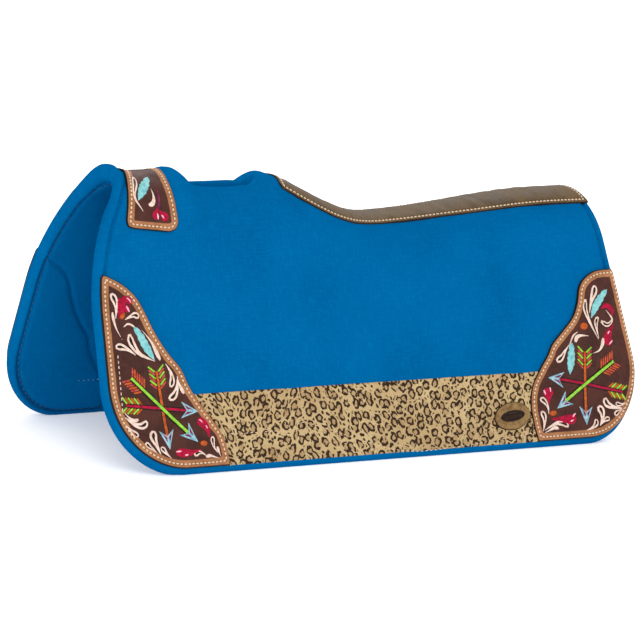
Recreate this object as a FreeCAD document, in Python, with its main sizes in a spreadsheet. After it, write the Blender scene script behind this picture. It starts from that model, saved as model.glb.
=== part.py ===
"""Western saddle pad: two felt flaps hanging from an arched spine, with tooled leather trim.

+X runs from the withers (front) to the loin (rear), -Y is the horse's near (left) side and the
pad stands on the bottom edges of its flaps at Z = 0.  Millimetres and degrees throughout.
"""
import FreeCAD
import Part
import math
import os
from FreeCAD import Placement, Rotation, Vector

# Driving dimensions: alias -> plain number.  "Depth" is measured down from the ridge over the felt.
SIZES = {
    # the moulded tent shape, on the outer face of the felt
    "half_length": 399.0,
    "foot_half_width": 169.0,
    "flap_lean": 19.4,
    "flare_lean": 28.5,
    "flare_height": 80.0,
    "wither_height": 348.0,
    "dip_height": 281.0,
    "loin_height": 303.0,
    "wither_end": -165.0,
    "dip_place": 45.0,
    "loin_place": 320.0,
    # the felt sandwich
    "pad_thick": 20.0,
    "core_thick": 6.0,
    "seam_inset": 11.0,
    "seam_rise": 1.2,
    # the outline of the pad, seen from the side
    "front_corner": 102.0,
    "rear_corner": 88.0,
    "front_straight": 190.0,
    "front_ridge_setback": 54.0,
    "rear_lean": 9.7,
    # the folds between the spine and the flaps
    "fold_height": 256.0,
    "fold_half_width": 57.0,
    "fold_open": 30.0,
    "fold_close": 12.0,
    "fold_clearance": 0.6,
    # the wither relief opening
    "relief_centre": -187.0,
    "relief_long": 104.0,
    "relief_wide": 32.0,
    "relief_sag": 18.0,
    # leather and hide
    "wear_thick": 4.0,
    "strip_thick": 2.0,
    "patch_thick": 3.5,
    "spine_thick": 3.0,
    "trim_inset": 9.0,
    "front_wear_height": 238.0,
    "front_wear_foot": 164.0,
    "rear_wear_height": 213.0,
    "rear_wear_foot": 166.0,
    "strip_height": 93.0,
    "strip_tuck": 14.0,
    "patch_front": -323.0,
    "patch_long": 52.0,
    "patch_flare": 25.0,
    "patch_drop": 96.0,
    "spine_front": -110.0,
    "spine_half_width": 42.0,
    "spine_waist": 35.0,
    # badge
    "badge_place": 193.0,
    "badge_height": 41.0,
    "badge_long": 56.0,
    "badge_wide": 36.0,
    "badge_thick": 2.5,
    "emblem_long": 34.0,
    "emblem_wide": 18.0,
    "emblem_thick": 1.2,
    # thread
    "thread_radius": 0.6,
    "stitch_pitch": 8.0,
    "stitch_inset": 5.0,
}

SIDES = {"near": -1, "off": 1}
REACH = 320.0          # half the width that every cutting prism spans
TOP = 460.0            # above everything
OVER_LIP = 12.0        # the front edge leans back until it is this far above the withers
FLOOR_ALLOWANCE = 15.0  # how far the raw mouldings run below the foot before they are trimmed
STATION_STEP = 24.0    # spacing of the sections that the mouldings are made from
TOUCH_GAP = 0.05       # keeps thread just off the leather it lies on

doc = FreeCAD.newDocument("SaddlePad")
sheet = doc.addObject("Spreadsheet::Sheet", "Sizes")
for row, (alias, value) in enumerate(SIZES.items(), start=1):
    sheet.set("A%d" % row, alias)
    sheet.set("B%d" % row, str(value))
    sheet.setAlias("B%d" % row, alias)
doc.recompute()


def size(alias):
    return float(sheet.get(alias))


def smooth(t):
    """0 before, 1 after, and an even S-curve between."""
    t = min(max(t, 0.0), 1.0)
    return t * t * (3.0 - 2.0 * t)


# ---------------------------------------------------------------- the moulded shape as geometry

LEAN = math.radians(size("flap_lean"))
FLARE = math.radians(size("flare_lean"))
SIN, COS = math.sin(LEAN), math.cos(LEAN)
FLARE_RADIUS = size("flare_height") / (math.sin(FLARE) - SIN)
FLARE_TOP_Y = size("foot_half_width") - FLARE_RADIUS * (COS - math.cos(FLARE))
FLARE_CENTRE_Y = FLARE_TOP_Y + FLARE_RADIUS * COS
FLARE_CENTRE_Z = size("flare_height") + FLARE_RADIUS * SIN
APEX = size("flare_height") + FLARE_TOP_Y / math.tan(LEAN)   # where the two flaps' planes meet


def stations():
    """Evenly spaced places along the pad where the mouldings take their section."""
    end = size("half_length") + FLOOR_ALLOWANCE
    count = math.ceil(2.0 * end / STATION_STEP)
    return [end * (2.0 * i / count - 1.0) for i in range(count + 1)]


def ridge_line(x):
    """Height of the felt's ridge: high withers, a dip for the seat, a low loin."""
    wither, dip, loin = size("wither_height"), size("dip_height"), size("loin_height")
    end, low, back = size("wither_end"), size("dip_place"), size("loin_place")
    height = wither - (wither - dip) * smooth((x - end) / (low - end))
    height += (loin - dip) * smooth((x - low) / (back - low))
    reach = size("relief_long") / 2.0
    away = abs(x - size("relief_centre"))
    return height - size("relief_sag") * (1.0 - smooth((away - 0.7 * reach) / (0.58 * reach)))


def ridge_height(x):
    """Height of the ridge as moulded: straight from each station to the next."""
    places = stations()
    step = places[1] - places[0]
    index = min(max(int((x - places[0]) / step), 0), len(places) - 2)
    share = (x - places[index]) / step
    return ridge_line(places[index]) * (1.0 - share) + ridge_line(places[index + 1]) * share


def crown(x):
    """Radius and centre height of the arch that joins the two flaps at station x."""
    radius = (APEX - ridge_height(x)) * SIN / (1.0 - SIN)
    return radius, ridge_height(x) - radius


def over_ridge(x, depth, lift=0.0):
    """Point at a distance over the felt from the ridge (negative on the near side)."""
    radius, centre = crown(x)
    side = -1.0 if depth < 0 else 1.0
    depth = abs(depth)
    arch = radius * (math.pi / 2.0 - LEAN)
    if depth <= arch:
        turn = depth / radius
        return Vector(x, side * (radius + lift) * math.sin(turn), centre + (radius + lift) * math.cos(turn))
    run = depth - arch
    y = radius * COS + run * SIN + lift * COS
    return Vector(x, side * y, centre + radius * SIN - run * COS + lift * SIN)


def depth_at(x, width):
    """Distance over the felt from the ridge to a place at a width from the middle plane."""
    radius, centre = crown(x)
    if width <= radius * COS:
        return radius * math.asin(width / radius)
    return radius * (math.pi / 2.0 - LEAN) + (width - radius * COS) / SIN


def on_face(side, x, z, lift=0.0):
    """Point on a flap's outer face at height z, and how far the face there tilts from upright."""
    radius, centre = crown(x)
    if z >= centre + radius * SIN:
        tilt = math.asin(min((z - centre) / radius, 1.0))
        y = radius * math.cos(tilt)
    elif z >= size("flare_height"):
        y, tilt = (APEX - z) * math.tan(LEAN), LEAN
    else:
        tilt = math.asin((FLARE_CENTRE_Z - z) / FLARE_RADIUS)
        y = FLARE_CENTRE_Y - FLARE_RADIUS * math.cos(tilt)
    point = Vector(x, side * (y + lift * math.cos(tilt)), z + lift * math.sin(tilt))
    return point, tilt


def section(x, outer, inner):
    """Closed section of a layer between two offsets from the felt's outer face."""
    radius, centre = crown(x)
    edges = []

    def half(side, lift):
        reach = FLARE_RADIUS - lift
        foot = math.asin((FLARE_CENTRE_Z + FLOOR_ALLOWANCE) / reach)

        def at(tilt):
            y = FLARE_CENTRE_Y - reach * math.cos(tilt)
            return Vector(x, side * y, FLARE_CENTRE_Z - reach * math.sin(tilt))

        shoulder = Vector(x, side * (radius + lift) * COS, centre + (radius + lift) * SIN)
        return at(foot), at((foot + LEAN) / 2.0), at(LEAN), shoulder

    for lift in (outer, inner):
        near, off = half(-1, lift), half(1, lift)
        top = Vector(x, 0, centre + radius + lift)
        run = [
            Part.Arc(near[0], near[1], near[2]).toShape(),
            Part.makeLine(near[2], near[3]),
            Part.Arc(near[3], top, off[3]).toShape(),
            Part.makeLine(off[3], off[2]),
            Part.Arc(off[2], off[1], off[0]).toShape(),
        ]
        ends = (near[0], off[0])
        if not edges:
            edges, first = run, ends
        else:
            edges.append(Part.makeLine(first[1], ends[1]))
            edges.extend(reversed(run))
            edges.append(Part.makeLine(ends[0], first[0]))
    return Part.Wire(Part.sortEdges(edges)[0])


def feature(name, shape):
    """A construction shape that the sheet's sizes drive through this script."""
    item = doc.addObject("Part::Feature", name)
    item.Shape = shape
    item.Placement = Placement()
    return item


def layer(name, outer, inner):
    """A whole moulding, both flaps and the arch, between two offsets from the felt's outer face."""
    return feature(name, Part.makeLoft([section(x, outer, inner) for x in stations()], True, True))


def prism(name, wire, direction, length):
    """A flat outline pushed along a direction, both ways or one way."""
    face = feature(name + "_outline", Part.Face(wire))
    push = doc.addObject("Part::Extrusion", name)
    push.Base = face
    push.DirMode = "Custom"
    push.Dir = direction
    push.LengthFwd = length
    push.Solid = True
    return push


def common(name, *items):
    both = doc.addObject("Part::MultiCommon", name)
    both.Shapes = list(items)
    return both


def cut(name, base, tool):
    minus = doc.addObject("Part::Cut", name)
    minus.Base = base
    minus.Tool = tool
    return minus


# ---------------------------------------------------------------- outlines

def flat(*points):
    """Side-view points (x, z) as vectors in the plane Y = 0."""
    return [Vector(x, 0, z) for x, z in points]


def front_arc_radius():
    rise = size("wither_height") - size("front_straight")
    setback = size("front_ridge_setback")
    return (setback ** 2 + rise ** 2) / (2.0 * setback)


def front_edge(z, inset=0.0):
    """x of the pad's front edge at height z."""
    radius = front_arc_radius()
    rise = max(min(z, size("wither_height") + OVER_LIP) - size("front_straight"), 0.0)
    lean_in = radius - math.sqrt((radius - inset) ** 2 - rise ** 2)
    return -size("half_length") + lean_in


def rear_edge(z, inset=0.0):
    """x of the pad's rear edge at height z, above the rounded corner."""
    lean = math.radians(size("rear_lean"))
    corner = size("rear_corner")
    start_x = size("half_length") - corner * (1.0 - math.cos(lean))
    start_z = corner * (1.0 + math.sin(lean))
    return start_x - (z - start_z) * math.tan(lean) - inset / math.cos(lean)


def pad_outline(inset, bottom):
    """The pad seen from the side, drawn in by an inset, on a bottom edge at its own height."""
    lean = math.radians(size("rear_lean"))
    front, rear = size("front_corner") - inset, size("rear_corner") - inset
    left = -size("half_length") + inset
    straight = size("front_straight")
    front_mid = front * (1.0 - math.sqrt(0.5))
    arc_top = size("wither_height") + OVER_LIP
    arc_mid = (straight + arc_top) / 2.0
    hub = Vector(size("half_length") - inset - rear, 0, bottom + rear)

    def on_corner(angle):
        return hub + Vector(rear * math.cos(angle), 0, rear * math.sin(angle))

    heel, calf = on_corner(-math.pi / 2.0), on_corner(lean)
    half_turn = on_corner((lean - math.pi / 2.0) / 2.0)
    front_low, front_side, arc_half, arc_end, top_left = flat(
        (left + front, bottom), (left, bottom + front), (front_edge(arc_mid, inset), arc_mid),
        (front_edge(arc_top, inset), arc_top), (front_edge(arc_top, inset), TOP))
    top_right = calf + Vector(-(TOP - calf.z) * math.tan(lean), 0, TOP - calf.z)
    arc_start = Vector(left, 0, straight)
    corner_mid = Vector(left + front_mid, 0, bottom + front_mid)
    return Part.Wire([
        Part.makeLine(heel, front_low),
        Part.Arc(front_low, corner_mid, front_side).toShape(),
        Part.makeLine(front_side, arc_start),
        Part.Arc(arc_start, arc_half, arc_end).toShape(),
        Part.makeLine(arc_end, top_left),
        Part.makeLine(top_left, top_right),
        Part.makeLine(top_right, calf),
        Part.Arc(calf, half_turn, heel).toShape(),
    ])


# The inner edge of each wear leather, from its tip to its foot, as shares of the leather's own
# reach along the pad and of its height above the trim line.
FRONT_SWEEP = ((0.05, 1.0), (0.16, 0.965), (0.255, 0.922), (0.35, 0.85), (0.46, 0.69), (0.56, 0.58),
               (0.655, 0.5), (0.71, 0.41), (0.79, 0.32), (0.88, 0.235), (0.95, 0.155), (0.98, 0.07),
               (0.985, 0.0))
REAR_SWEEP = ((0.14, 1.0), (0.3, 0.993), (0.41, 0.955), (0.475, 0.9), (0.51, 0.805), (0.57, 0.72),
              (0.68, 0.64), (0.79, 0.565), (0.845, 0.5), (0.93, 0.42), (1.015, 0.325), (1.052, 0.22),
              (1.052, 0.11), (1.035, 0.0))


def sweep_outline(sweep, forward, height, foot):
    """Everything between a wear leather's swept inner edge and the corner of the pad."""
    base = size("trim_inset")
    corner = -forward * size("half_length")
    points = flat(*[(corner + forward * foot * u, base + (height - base) * v) for u, v in sweep])
    curve = Part.BSplineCurve()
    curve.interpolate(points)
    outside = corner - forward * 40.0
    below = base - 1.0
    tip, toe = points[0], points[-1]
    corners = [toe, Vector(toe.x, 0, below), Vector(outside, 0, below), Vector(outside, 0, tip.z + 4.0), tip]
    sides = [Part.makeLine(a, b) for a, b in zip(corners, corners[1:])]
    return Part.Wire([curve.toShape()] + sides)


def rounded(points, radii):
    """A closed polygon in one plane with every corner rounded to its radius (0 leaves it sharp)."""
    edges, last, first = [], None, None
    count = len(points)
    for i in range(count):
        here, before, after = points[i], points[i - 1], points[(i + 1) % count]
        back, ahead = (before - here).normalize(), (after - here).normalize()
        half = back.getAngle(ahead) / 2.0
        reach = radii[i] / math.tan(half)
        start, end = here + back * reach, here + ahead * reach
        if last is not None:
            edges.append(Part.makeLine(last, start))
        else:
            first = start
        if radii[i] > 0:
            middle = here + (back + ahead).normalize() * (radii[i] / math.sin(half) - radii[i])
            edges.append(Part.Arc(start, middle, end).toShape())
        last = end
    edges.append(Part.makeLine(last, first))
    return Part.Wire(edges)


# ---------------------------------------------------------------- cutting prisms

ACROSS, ALONG, UP = Vector(0, 1, 0), Vector(1, 0, 0), Vector(0, 0, 1)


def across(name, wire):
    """A side-view outline as a prism through both flaps."""
    return prism(name, wire.translated(Vector(0, -REACH, 0)), ACROSS, 2.0 * REACH)


def across_side(name, wire, side):
    """A side-view outline as a prism through one flap only."""
    return prism(name, wire, ACROSS * side, REACH)


def along(name, points):
    """A rear-view polygon (y, z) as a prism over the whole length."""
    end = size("half_length") + 2.0 * FLOOR_ALLOWANCE
    corners = [Vector(-end, y, z) for y, z in points]
    return prism(name, Part.makePolygon(corners + corners[:1]), ALONG, 2.0 * end)


whole = across("pad_side", pad_outline(0.0, 0.0))
inside_seam = across("core_side", pad_outline(size("seam_inset"), size("seam_inset")))

fold_y, fold_z = size("fold_half_width"), size("fold_height")
gap = size("fold_clearance")
open_drop = math.tan(math.radians(size("fold_open")))
close_drop = math.tan(math.radians(size("fold_close")))
region = {"spine": along("spine_region", [
    (-REACH, fold_z + gap), (REACH, fold_z + gap), (REACH, TOP), (-REACH, TOP)])}
for side_name, side in SIDES.items():
    region[side_name] = along("%s_region" % side_name, [
        (side * fold_y, fold_z - gap),
        (side * REACH, fold_z - gap - (REACH - fold_y) * open_drop),
        (side * REACH, -FLOOR_ALLOWANCE * 2.0),
        (0.0, -FLOOR_ALLOWANCE * 2.0),
        (0.0, fold_z - gap - fold_y * close_drop)])


def oval_prism(name, grow):
    """The wither relief opening as an upright oval prism, made larger all round by an amount."""
    oval = doc.addObject("Part::Ellipse", name + "_oval")
    oval.setExpression("MajorRadius", "Sizes.relief_long / 2 + %s" % grow)
    oval.setExpression("MinorRadius", "Sizes.relief_wide / 2 + %s" % grow)
    oval.setExpression("Placement.Base.x", "Sizes.relief_centre")
    push = doc.addObject("Part::Extrusion", name)
    push.Base = oval
    push.DirMode = "Custom"
    push.Dir = UP
    push.LengthFwd = TOP
    push.Solid = True
    return push


relief = oval_prism("relief", "0")
relief_seam = oval_prism("relief_seam", "Sizes.seam_inset")
doc.recompute()

# ---------------------------------------------------------------- the felt sandwich

pad, core_thick = size("pad_thick"), size("core_thick")
top_layer = layer("top_moulding", 0.0, -pad / 2.0)
lining_layer = layer("lining_moulding", -pad / 2.0, -pad)
core_layer = layer("core_moulding", -(pad - core_thick) / 2.0, -(pad + core_thick) / 2.0)

parts = []


def keep(item, label):
    """Names a finished sub-part, which becomes the file and the node."""
    item.Label = label
    parts.append(item)
    return item


core_blank = common("core_blank", core_layer, inside_seam)
core_open = cut("core_open", core_blank, relief_seam)
for place in ("spine", "near", "off"):
    core = common("core_" + place, core_open if place == "spine" else core_blank, region[place])
    keep(core, "felt_core_" + place)
    for label, moulding in (("felt_top", top_layer), ("felt_lining", lining_layer)):
        blank = common("%s_%s_blank" % (label, place), moulding, whole, region[place])
        if place == "spine":
            blank = cut("%s_relieved" % label, blank, relief)
        keep(cut("%s_%s_body" % (label, place), blank, core), "%s_%s" % (label, place))

# ---------------------------------------------------------------- leather and hide

EDGE_GAP = 1.5         # the trim stops this far inside the pad's front and rear edges
trim_side = across("trim_side", pad_outline(EDGE_GAP, size("trim_inset")))
wear_layer = layer("wear_moulding", size("wear_thick"), 0.0)
strip_layer = layer("strip_moulding", size("strip_thick"), 0.0)
patch_layer = layer("patch_moulding", size("patch_thick"), 0.0)
spine_layer = layer("spine_moulding", size("spine_thick"), 0.0)
doc.recompute()

WEAR = {
    "front": (FRONT_SWEEP, 1, size("front_wear_height"), size("front_wear_foot")),
    "rear": (REAR_SWEEP, -1, size("rear_wear_height"), size("rear_wear_foot")),
}
trim_face = Part.Face(pad_outline(EDGE_GAP, size("trim_inset")))
wear_wire = {}
for end_name, (sweep, forward, height, foot) in WEAR.items():
    wear_wire[end_name] = sweep_outline(sweep, forward, height, foot)


def strip_end(end_name):
    """x to which the hide strip runs under a wear leather."""
    sweep, forward, height, foot = WEAR[end_name]
    share = (size("strip_height") - size("trim_inset")) / (height - size("trim_inset"))
    for (u0, v0), (u1, v1) in zip(sweep, sweep[1:]):
        if v0 >= share >= v1:
            reach = foot * (u0 + (u1 - u0) * (v0 - share) / (v0 - v1))
            return forward * (reach - size("strip_tuck") - size("half_length"))
    return -forward * size("half_length")


strip_front, strip_rear = strip_end("front"), strip_end("rear")
low, high = size("trim_inset"), size("strip_height")
strip_wire = Part.makePolygon(flat((strip_front, low), (strip_rear, low), (strip_rear, high),
                                   (strip_front, high), (strip_front, low)))

for side_name, side in SIDES.items():
    strip_cut = across_side("strip_cut_" + side_name, strip_wire, side)
    strip = keep(common("strip_" + side_name, strip_layer, strip_cut), "hair_strip_" + side_name)
    for end_name in WEAR:
        tag = "%s_wear_%s" % (end_name, side_name)
        swept = across_side(tag + "_cut", wear_wire[end_name], side)
        blank = common(tag + "_blank", wear_layer, trim_side, swept)
        keep(cut(tag, blank, strip), "%s_wear_leather_%s" % (end_name, side_name))

patch_rear = size("patch_front") + size("patch_long")
patch_foot = over_ridge(size("patch_front"), size("patch_drop")).z
patch_toe = size("patch_front") - size("patch_flare")
patch_points = flat((size("patch_front"), TOP), (patch_rear, TOP), (patch_rear, size("wither_height")),
                    (patch_rear - 4.0, patch_foot), (patch_toe, patch_foot),
                    (size("patch_front"), size("wither_height")))
patch_cut = across("patch_cut", rounded(patch_points, (0, 0, 0, 12.0, 12.0, 0)))
keep(common("patch", patch_layer, patch_cut), "wither_patch")

spine_end = size("half_length")
half, waist = size("spine_half_width"), size("spine_waist")
waist_run = (spine_end - size("spine_front")) / 4.0


def spine_side(side):
    """One long edge of the spine leather in plan, drawn in at the dip of the seat."""
    front, dip = size("spine_front"), size("dip_place")
    curve = Part.BSplineCurve()
    curve.interpolate([Vector(front, side * half, 0), Vector(front + waist_run * 0.55, side * half, 0),
                       Vector(dip + waist_run * 0.2, side * waist, 0), Vector(dip + waist_run, side * waist, 0),
                       Vector(spine_end - waist_run, side * half, 0), Vector(spine_end, side * half, 0)])
    return curve.toShape()


near_edge, off_edge = spine_side(-1), spine_side(1)
nose = Part.Arc(near_edge.valueAt(near_edge.FirstParameter), Vector(size("spine_front") - 4.0, 0, 0),
                off_edge.valueAt(off_edge.FirstParameter)).toShape()
tail = Part.makeLine(Vector(spine_end, -half, 0), Vector(spine_end, half, 0))
spine_wire = Part.Wire(Part.sortEdges([near_edge, nose, off_edge, tail])[0])
spine_cut = prism("spine_cut", spine_wire, UP, TOP)
edge_trim = across("spine_trim", pad_outline(EDGE_GAP, 0.0))
keep(common("spine_cover", spine_layer, spine_cut, edge_trim, region["spine"]), "spine_leather")

# ---------------------------------------------------------------- badge

# The flat badge stands on its two long edges, because the flare under it is hollow.
badge_seat = size("strip_thick") + (size("badge_wide") / 2.0) ** 2 / (2.0 * FLARE_RADIUS) + 2.0 * TOUCH_GAP
for side_name, side in SIDES.items():
    for label, (long_name, wide_name, thick_name, seat) in {
            "badge": ("badge_long", "badge_wide", "badge_thick", badge_seat),
            "badge_emblem": ("emblem_long", "emblem_wide", "emblem_thick",
                             badge_seat + size("badge_thick"))}.items():
        oval = doc.addObject("Part::Ellipse", "%s_%s_oval" % (label, side_name))
        oval.setExpression("MajorRadius", "Sizes.%s / 2" % long_name)
        oval.setExpression("MinorRadius", "Sizes.%s / 2" % wide_name)
        plate = doc.addObject("Part::Extrusion", "%s_%s_plate" % (label, side_name))
        plate.Base = oval
        plate.DirMode = "Custom"
        plate.Dir = UP
        plate.Solid = True
        plate.setExpression("LengthFwd", "Sizes.%s" % thick_name)
        point, tilt = on_face(side, size("badge_place"), size("badge_height"), seat)
        turn = Rotation(ALONG, -side * (90.0 - math.degrees(tilt)))
        plate.Placement = Placement(point, turn)
        keep(plate, "%s_%s" % (label, side_name))

# ---------------------------------------------------------------- thread

THREAD = size("thread_radius")


def row(name, places):
    """Straight stitches between each pair of places."""
    solids = []
    for start, end in places:
        run = end - start
        solids.append(Part.makeCylinder(THREAD, run.Length, start, run))
    return keep(feature(name + "_thread", Part.makeCompound(solids)), name)


def stepped(wire, pitch):
    """Pairs of points along a flat wire: a stitch, then a gap of the same length."""
    count = max(int(wire.Length / pitch), 2)
    marks = wire.discretize(Number=2 * count + 1)
    return [(marks[2 * i], marks[2 * i + 1]) for i in range(count)]


def on_side(side, pairs, lift):
    return [tuple(on_face(side, p.x, p.z, lift)[0] for p in pair) for pair in pairs]


pitch, seam_in = size("stitch_pitch"), size("stitch_inset")
lying = THREAD + TOUCH_GAP
lining_lift = -(pad + THREAD + 4.0 * TOUCH_GAP)
under_seam = size("seam_inset")
floor_seam = (pad + THREAD) * math.sin(FLARE) + size("seam_rise")
edge_wire = pad_outline(under_seam, floor_seam)
fold_low = fold_z - gap - 12.0
for side_name, side in SIDES.items():
    for end_name in WEAR:
        piece = Part.Face(wear_wire[end_name]).common(trim_face).Faces[0]
        seam = piece.OuterWire.makeOffset2D(-seam_in)
        row("%s_wear_stitching_%s" % (end_name, side_name),
            on_side(side, stepped(seam, pitch), size("wear_thick") + lying))
    bar = Part.makeLine(Vector(strip_front, 0, low + seam_in), Vector(strip_rear, 0, low + seam_in))
    shown = bar.cut(Part.Face(wear_wire["front"])).cut(Part.Face(wear_wire["rear"])).BoundBox
    ends = [Vector(x, 0, low + seam_in) for x in (shown.XMin + 3.0 * THREAD, shown.XMax - 3.0 * THREAD)]
    row("strip_stitching_" + side_name,
        on_side(side, stepped(Part.Wire([Part.makeLine(*ends)]), pitch), size("strip_thick") + lying))
    pairs = [pair for pair in stepped(edge_wire, 1.5 * pitch) if max(p.z for p in pair) < fold_low]
    row("edge_stitching_" + side_name, on_side(side, pairs, lining_lift))

crown_pairs = [pair for pair in stepped(edge_wire, 1.5 * pitch)
               if fold_z + gap + 4.0 < min(p.z for p in pair)
               and max(p.z for p in pair) < ridge_height(pair[0].x) - 2.0]
crown_rows = [pair for side in SIDES.values() for pair in on_side(side, crown_pairs, lining_lift)]
row("edge_stitching_spine", crown_rows)

patch_drop = size("patch_drop") - seam_in
patch_lift = size("patch_thick") + lying


def patch_front_x(depth):
    """x of the wither patch's front edge, which flares forward below the lip."""
    share = min(max(depth - 20.0, 0.0) / (size("patch_drop") - 20.0), 1.0)
    return size("patch_front") - size("patch_flare") * share


def patch_stitch(start, end):
    """One stitch on the patch between two places, each (x, distance from the ridge)."""
    return over_ridge(*start, patch_lift), over_ridge(*end, patch_lift)


patch_rows = []
drop_count = int(patch_drop / pitch)
foot_front = patch_front_x(patch_drop) + 1.5 * seam_in
foot_count = int((size("patch_long") + size("patch_flare") - 3.0 * seam_in) / pitch)
for side in SIDES.values():
    for i in range(drop_count):
        upper, lower = (i + 0.25) * pitch, (i + 0.75) * pitch
        patch_rows.append(patch_stitch((patch_front_x(upper) + seam_in + 1.0, side * upper),
                                       (patch_front_x(lower) + seam_in + 1.0, side * lower)))
        patch_rows.append(patch_stitch((patch_rear - seam_in - 1.0, side * upper),
                                       (patch_rear - seam_in - 1.0, side * lower)))
    for i in range(foot_count):
        patch_rows.append(patch_stitch((foot_front + (i + 0.25) * pitch, side * patch_drop),
                                       (foot_front + (i + 0.75) * pitch, side * patch_drop)))
row("wither_patch_stitching", patch_rows)

spine_rows = []
spine_stop = rear_edge(size("loin_height"), seam_in + EDGE_GAP)
for side, edge in ((-1, near_edge), (1, off_edge)):
    for start, end in stepped(Part.Wire([edge]), pitch):
        if start.x > size("spine_front") + seam_in and end.x < spine_stop:
            pair = []
            for point in (start, end):
                depth = side * depth_at(point.x, abs(point.y) - seam_in)
                pair.append(over_ridge(point.x, depth, size("spine_thick") + lying))
            spine_rows.append(tuple(pair))
row("spine_leather_stitching", spine_rows)

# ---------------------------------------------------------------- check and write

doc.recompute()
for item in doc.Objects:
    if "Invalid" in item.State or "Error" in item.State:
        raise RuntimeError("%s failed: %s" % (item.Name, item.State))
for item in parts:
    if item.Shape.isNull() or not item.Shape.isValid():
        raise RuntimeError("%s has no valid shape" % item.Label)
os.makedirs("parts", exist_ok=True)
for item in parts:
    item.Shape.exportStep("parts/%s.step" % item.Label)
    box = item.Shape.BoundBox
    print("%-28s solids %3d  volume %9.0f  x %7.1f %7.1f  y %7.1f %7.1f  z %6.1f %6.1f" % (
        item.Label, len(item.Shape.Solids), item.Shape.Volume, box.XMin, box.XMax, box.YMin, box.YMax,
        box.ZMin, box.ZMax))
print(len(parts), "sub-parts")
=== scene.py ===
"""Western saddle pad: pressed felt, tooled and painted leather, leopard hide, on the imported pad.

Shapes are worked out in millimetres on the felt's own surface.  x runs from the withers to the loin
and s is the distance round over the felt from the ridge, negative on the near side.  "Lift" is the
height above the felt.  Meshes are made in metres.
"""
import math
import bpy
import numpy as np
from mathutils import Matrix, Vector
from mathutils.geometry import delaunay_2d_cdt


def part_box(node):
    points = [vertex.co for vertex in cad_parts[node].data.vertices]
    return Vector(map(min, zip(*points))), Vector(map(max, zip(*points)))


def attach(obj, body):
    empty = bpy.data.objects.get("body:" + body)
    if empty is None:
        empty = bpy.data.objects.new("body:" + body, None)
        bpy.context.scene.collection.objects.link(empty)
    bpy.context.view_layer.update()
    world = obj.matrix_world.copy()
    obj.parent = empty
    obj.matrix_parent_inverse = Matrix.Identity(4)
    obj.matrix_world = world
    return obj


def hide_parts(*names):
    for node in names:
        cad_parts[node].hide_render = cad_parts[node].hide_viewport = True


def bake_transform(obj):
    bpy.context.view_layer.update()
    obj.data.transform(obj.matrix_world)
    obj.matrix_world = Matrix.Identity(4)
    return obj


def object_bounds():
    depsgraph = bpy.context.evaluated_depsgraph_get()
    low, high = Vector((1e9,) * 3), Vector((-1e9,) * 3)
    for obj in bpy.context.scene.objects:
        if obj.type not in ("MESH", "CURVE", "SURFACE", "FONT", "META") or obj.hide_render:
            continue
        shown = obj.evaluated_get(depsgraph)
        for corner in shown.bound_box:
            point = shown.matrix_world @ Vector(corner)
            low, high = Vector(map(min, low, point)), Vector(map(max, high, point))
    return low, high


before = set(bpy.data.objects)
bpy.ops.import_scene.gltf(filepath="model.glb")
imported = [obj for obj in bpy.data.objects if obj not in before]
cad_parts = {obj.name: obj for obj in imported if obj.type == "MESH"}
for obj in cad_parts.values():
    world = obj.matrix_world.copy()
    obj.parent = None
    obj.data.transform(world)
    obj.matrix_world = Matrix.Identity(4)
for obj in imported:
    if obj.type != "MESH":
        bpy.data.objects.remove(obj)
cad_low, cad_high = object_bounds()

MM = 0.001
SIDES = {"near": -1.0, "off": 1.0}

# ---------------------------------------------------------------- the moulded shape

HALF_LENGTH = cad_high.x / MM
FOOT_HALF_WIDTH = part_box("felt_top_off")[1].y / MM
PAD_THICK = 20.0
LEAN, FLARE = math.radians(19.4), math.radians(28.5)
FLARE_HEIGHT = 80.0
WITHER_HEIGHT, DIP_HEIGHT, LOIN_HEIGHT = 348.0, 281.0, 303.0
WITHER_END, DIP_PLACE, LOIN_PLACE = -165.0, 45.0, 320.0
RELIEF_CENTRE, RELIEF_LONG, RELIEF_WIDE, RELIEF_SAG = -187.0, 104.0, 32.0, 18.0
FRONT_CORNER, REAR_CORNER = 102.0, 88.0
FRONT_STRAIGHT, FRONT_SETBACK = 190.0, 54.0
REAR_LEAN = math.radians(9.7)
SEAM = 11.0            # the stitched groove round the felt, in from its rim
FOOT_RISE = 4.0        # the felt's rounded outer corner stands this far above the floor

SIN, COS = math.sin(LEAN), math.cos(LEAN)
FLARE_RADIUS = FLARE_HEIGHT / (math.sin(FLARE) - SIN)
FLARE_TOP_Y = FOOT_HALF_WIDTH - FLARE_RADIUS * (COS - math.cos(FLARE))
FLARE_Y, FLARE_Z = FLARE_TOP_Y + FLARE_RADIUS * COS, FLARE_HEIGHT + FLARE_RADIUS * SIN
APEX = FLARE_HEIGHT + FLARE_TOP_Y / math.tan(LEAN)
FRONT_RISE = WITHER_HEIGHT - FRONT_STRAIGHT
FRONT_RADIUS = (FRONT_SETBACK ** 2 + FRONT_RISE ** 2) / (2.0 * FRONT_SETBACK)


def smooth(t):
    """0 before, 1 after, and an even S-curve between."""
    t = np.clip(t, 0.0, 1.0)
    return t * t * (3.0 - 2.0 * t)


def bell(d, at, width):
    """A smooth bump of height 1."""
    return np.exp(-((d - at) / width) ** 2)


def ridge_height(x):
    """Height of the ridge line over the withers, the dip and the loin, sagging round the relief."""
    fall = smooth((x - WITHER_END) / (DIP_PLACE - WITHER_END))
    climb = smooth((x - DIP_PLACE) / (LOIN_PLACE - DIP_PLACE))
    height = WITHER_HEIGHT - (WITHER_HEIGHT - DIP_HEIGHT) * fall + (LOIN_HEIGHT - DIP_HEIGHT) * climb
    reach = RELIEF_LONG / 2.0
    away = np.abs(x - RELIEF_CENTRE)
    return height - RELIEF_SAG * (1.0 - smooth((away - 0.7 * reach) / (0.58 * reach)))


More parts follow.
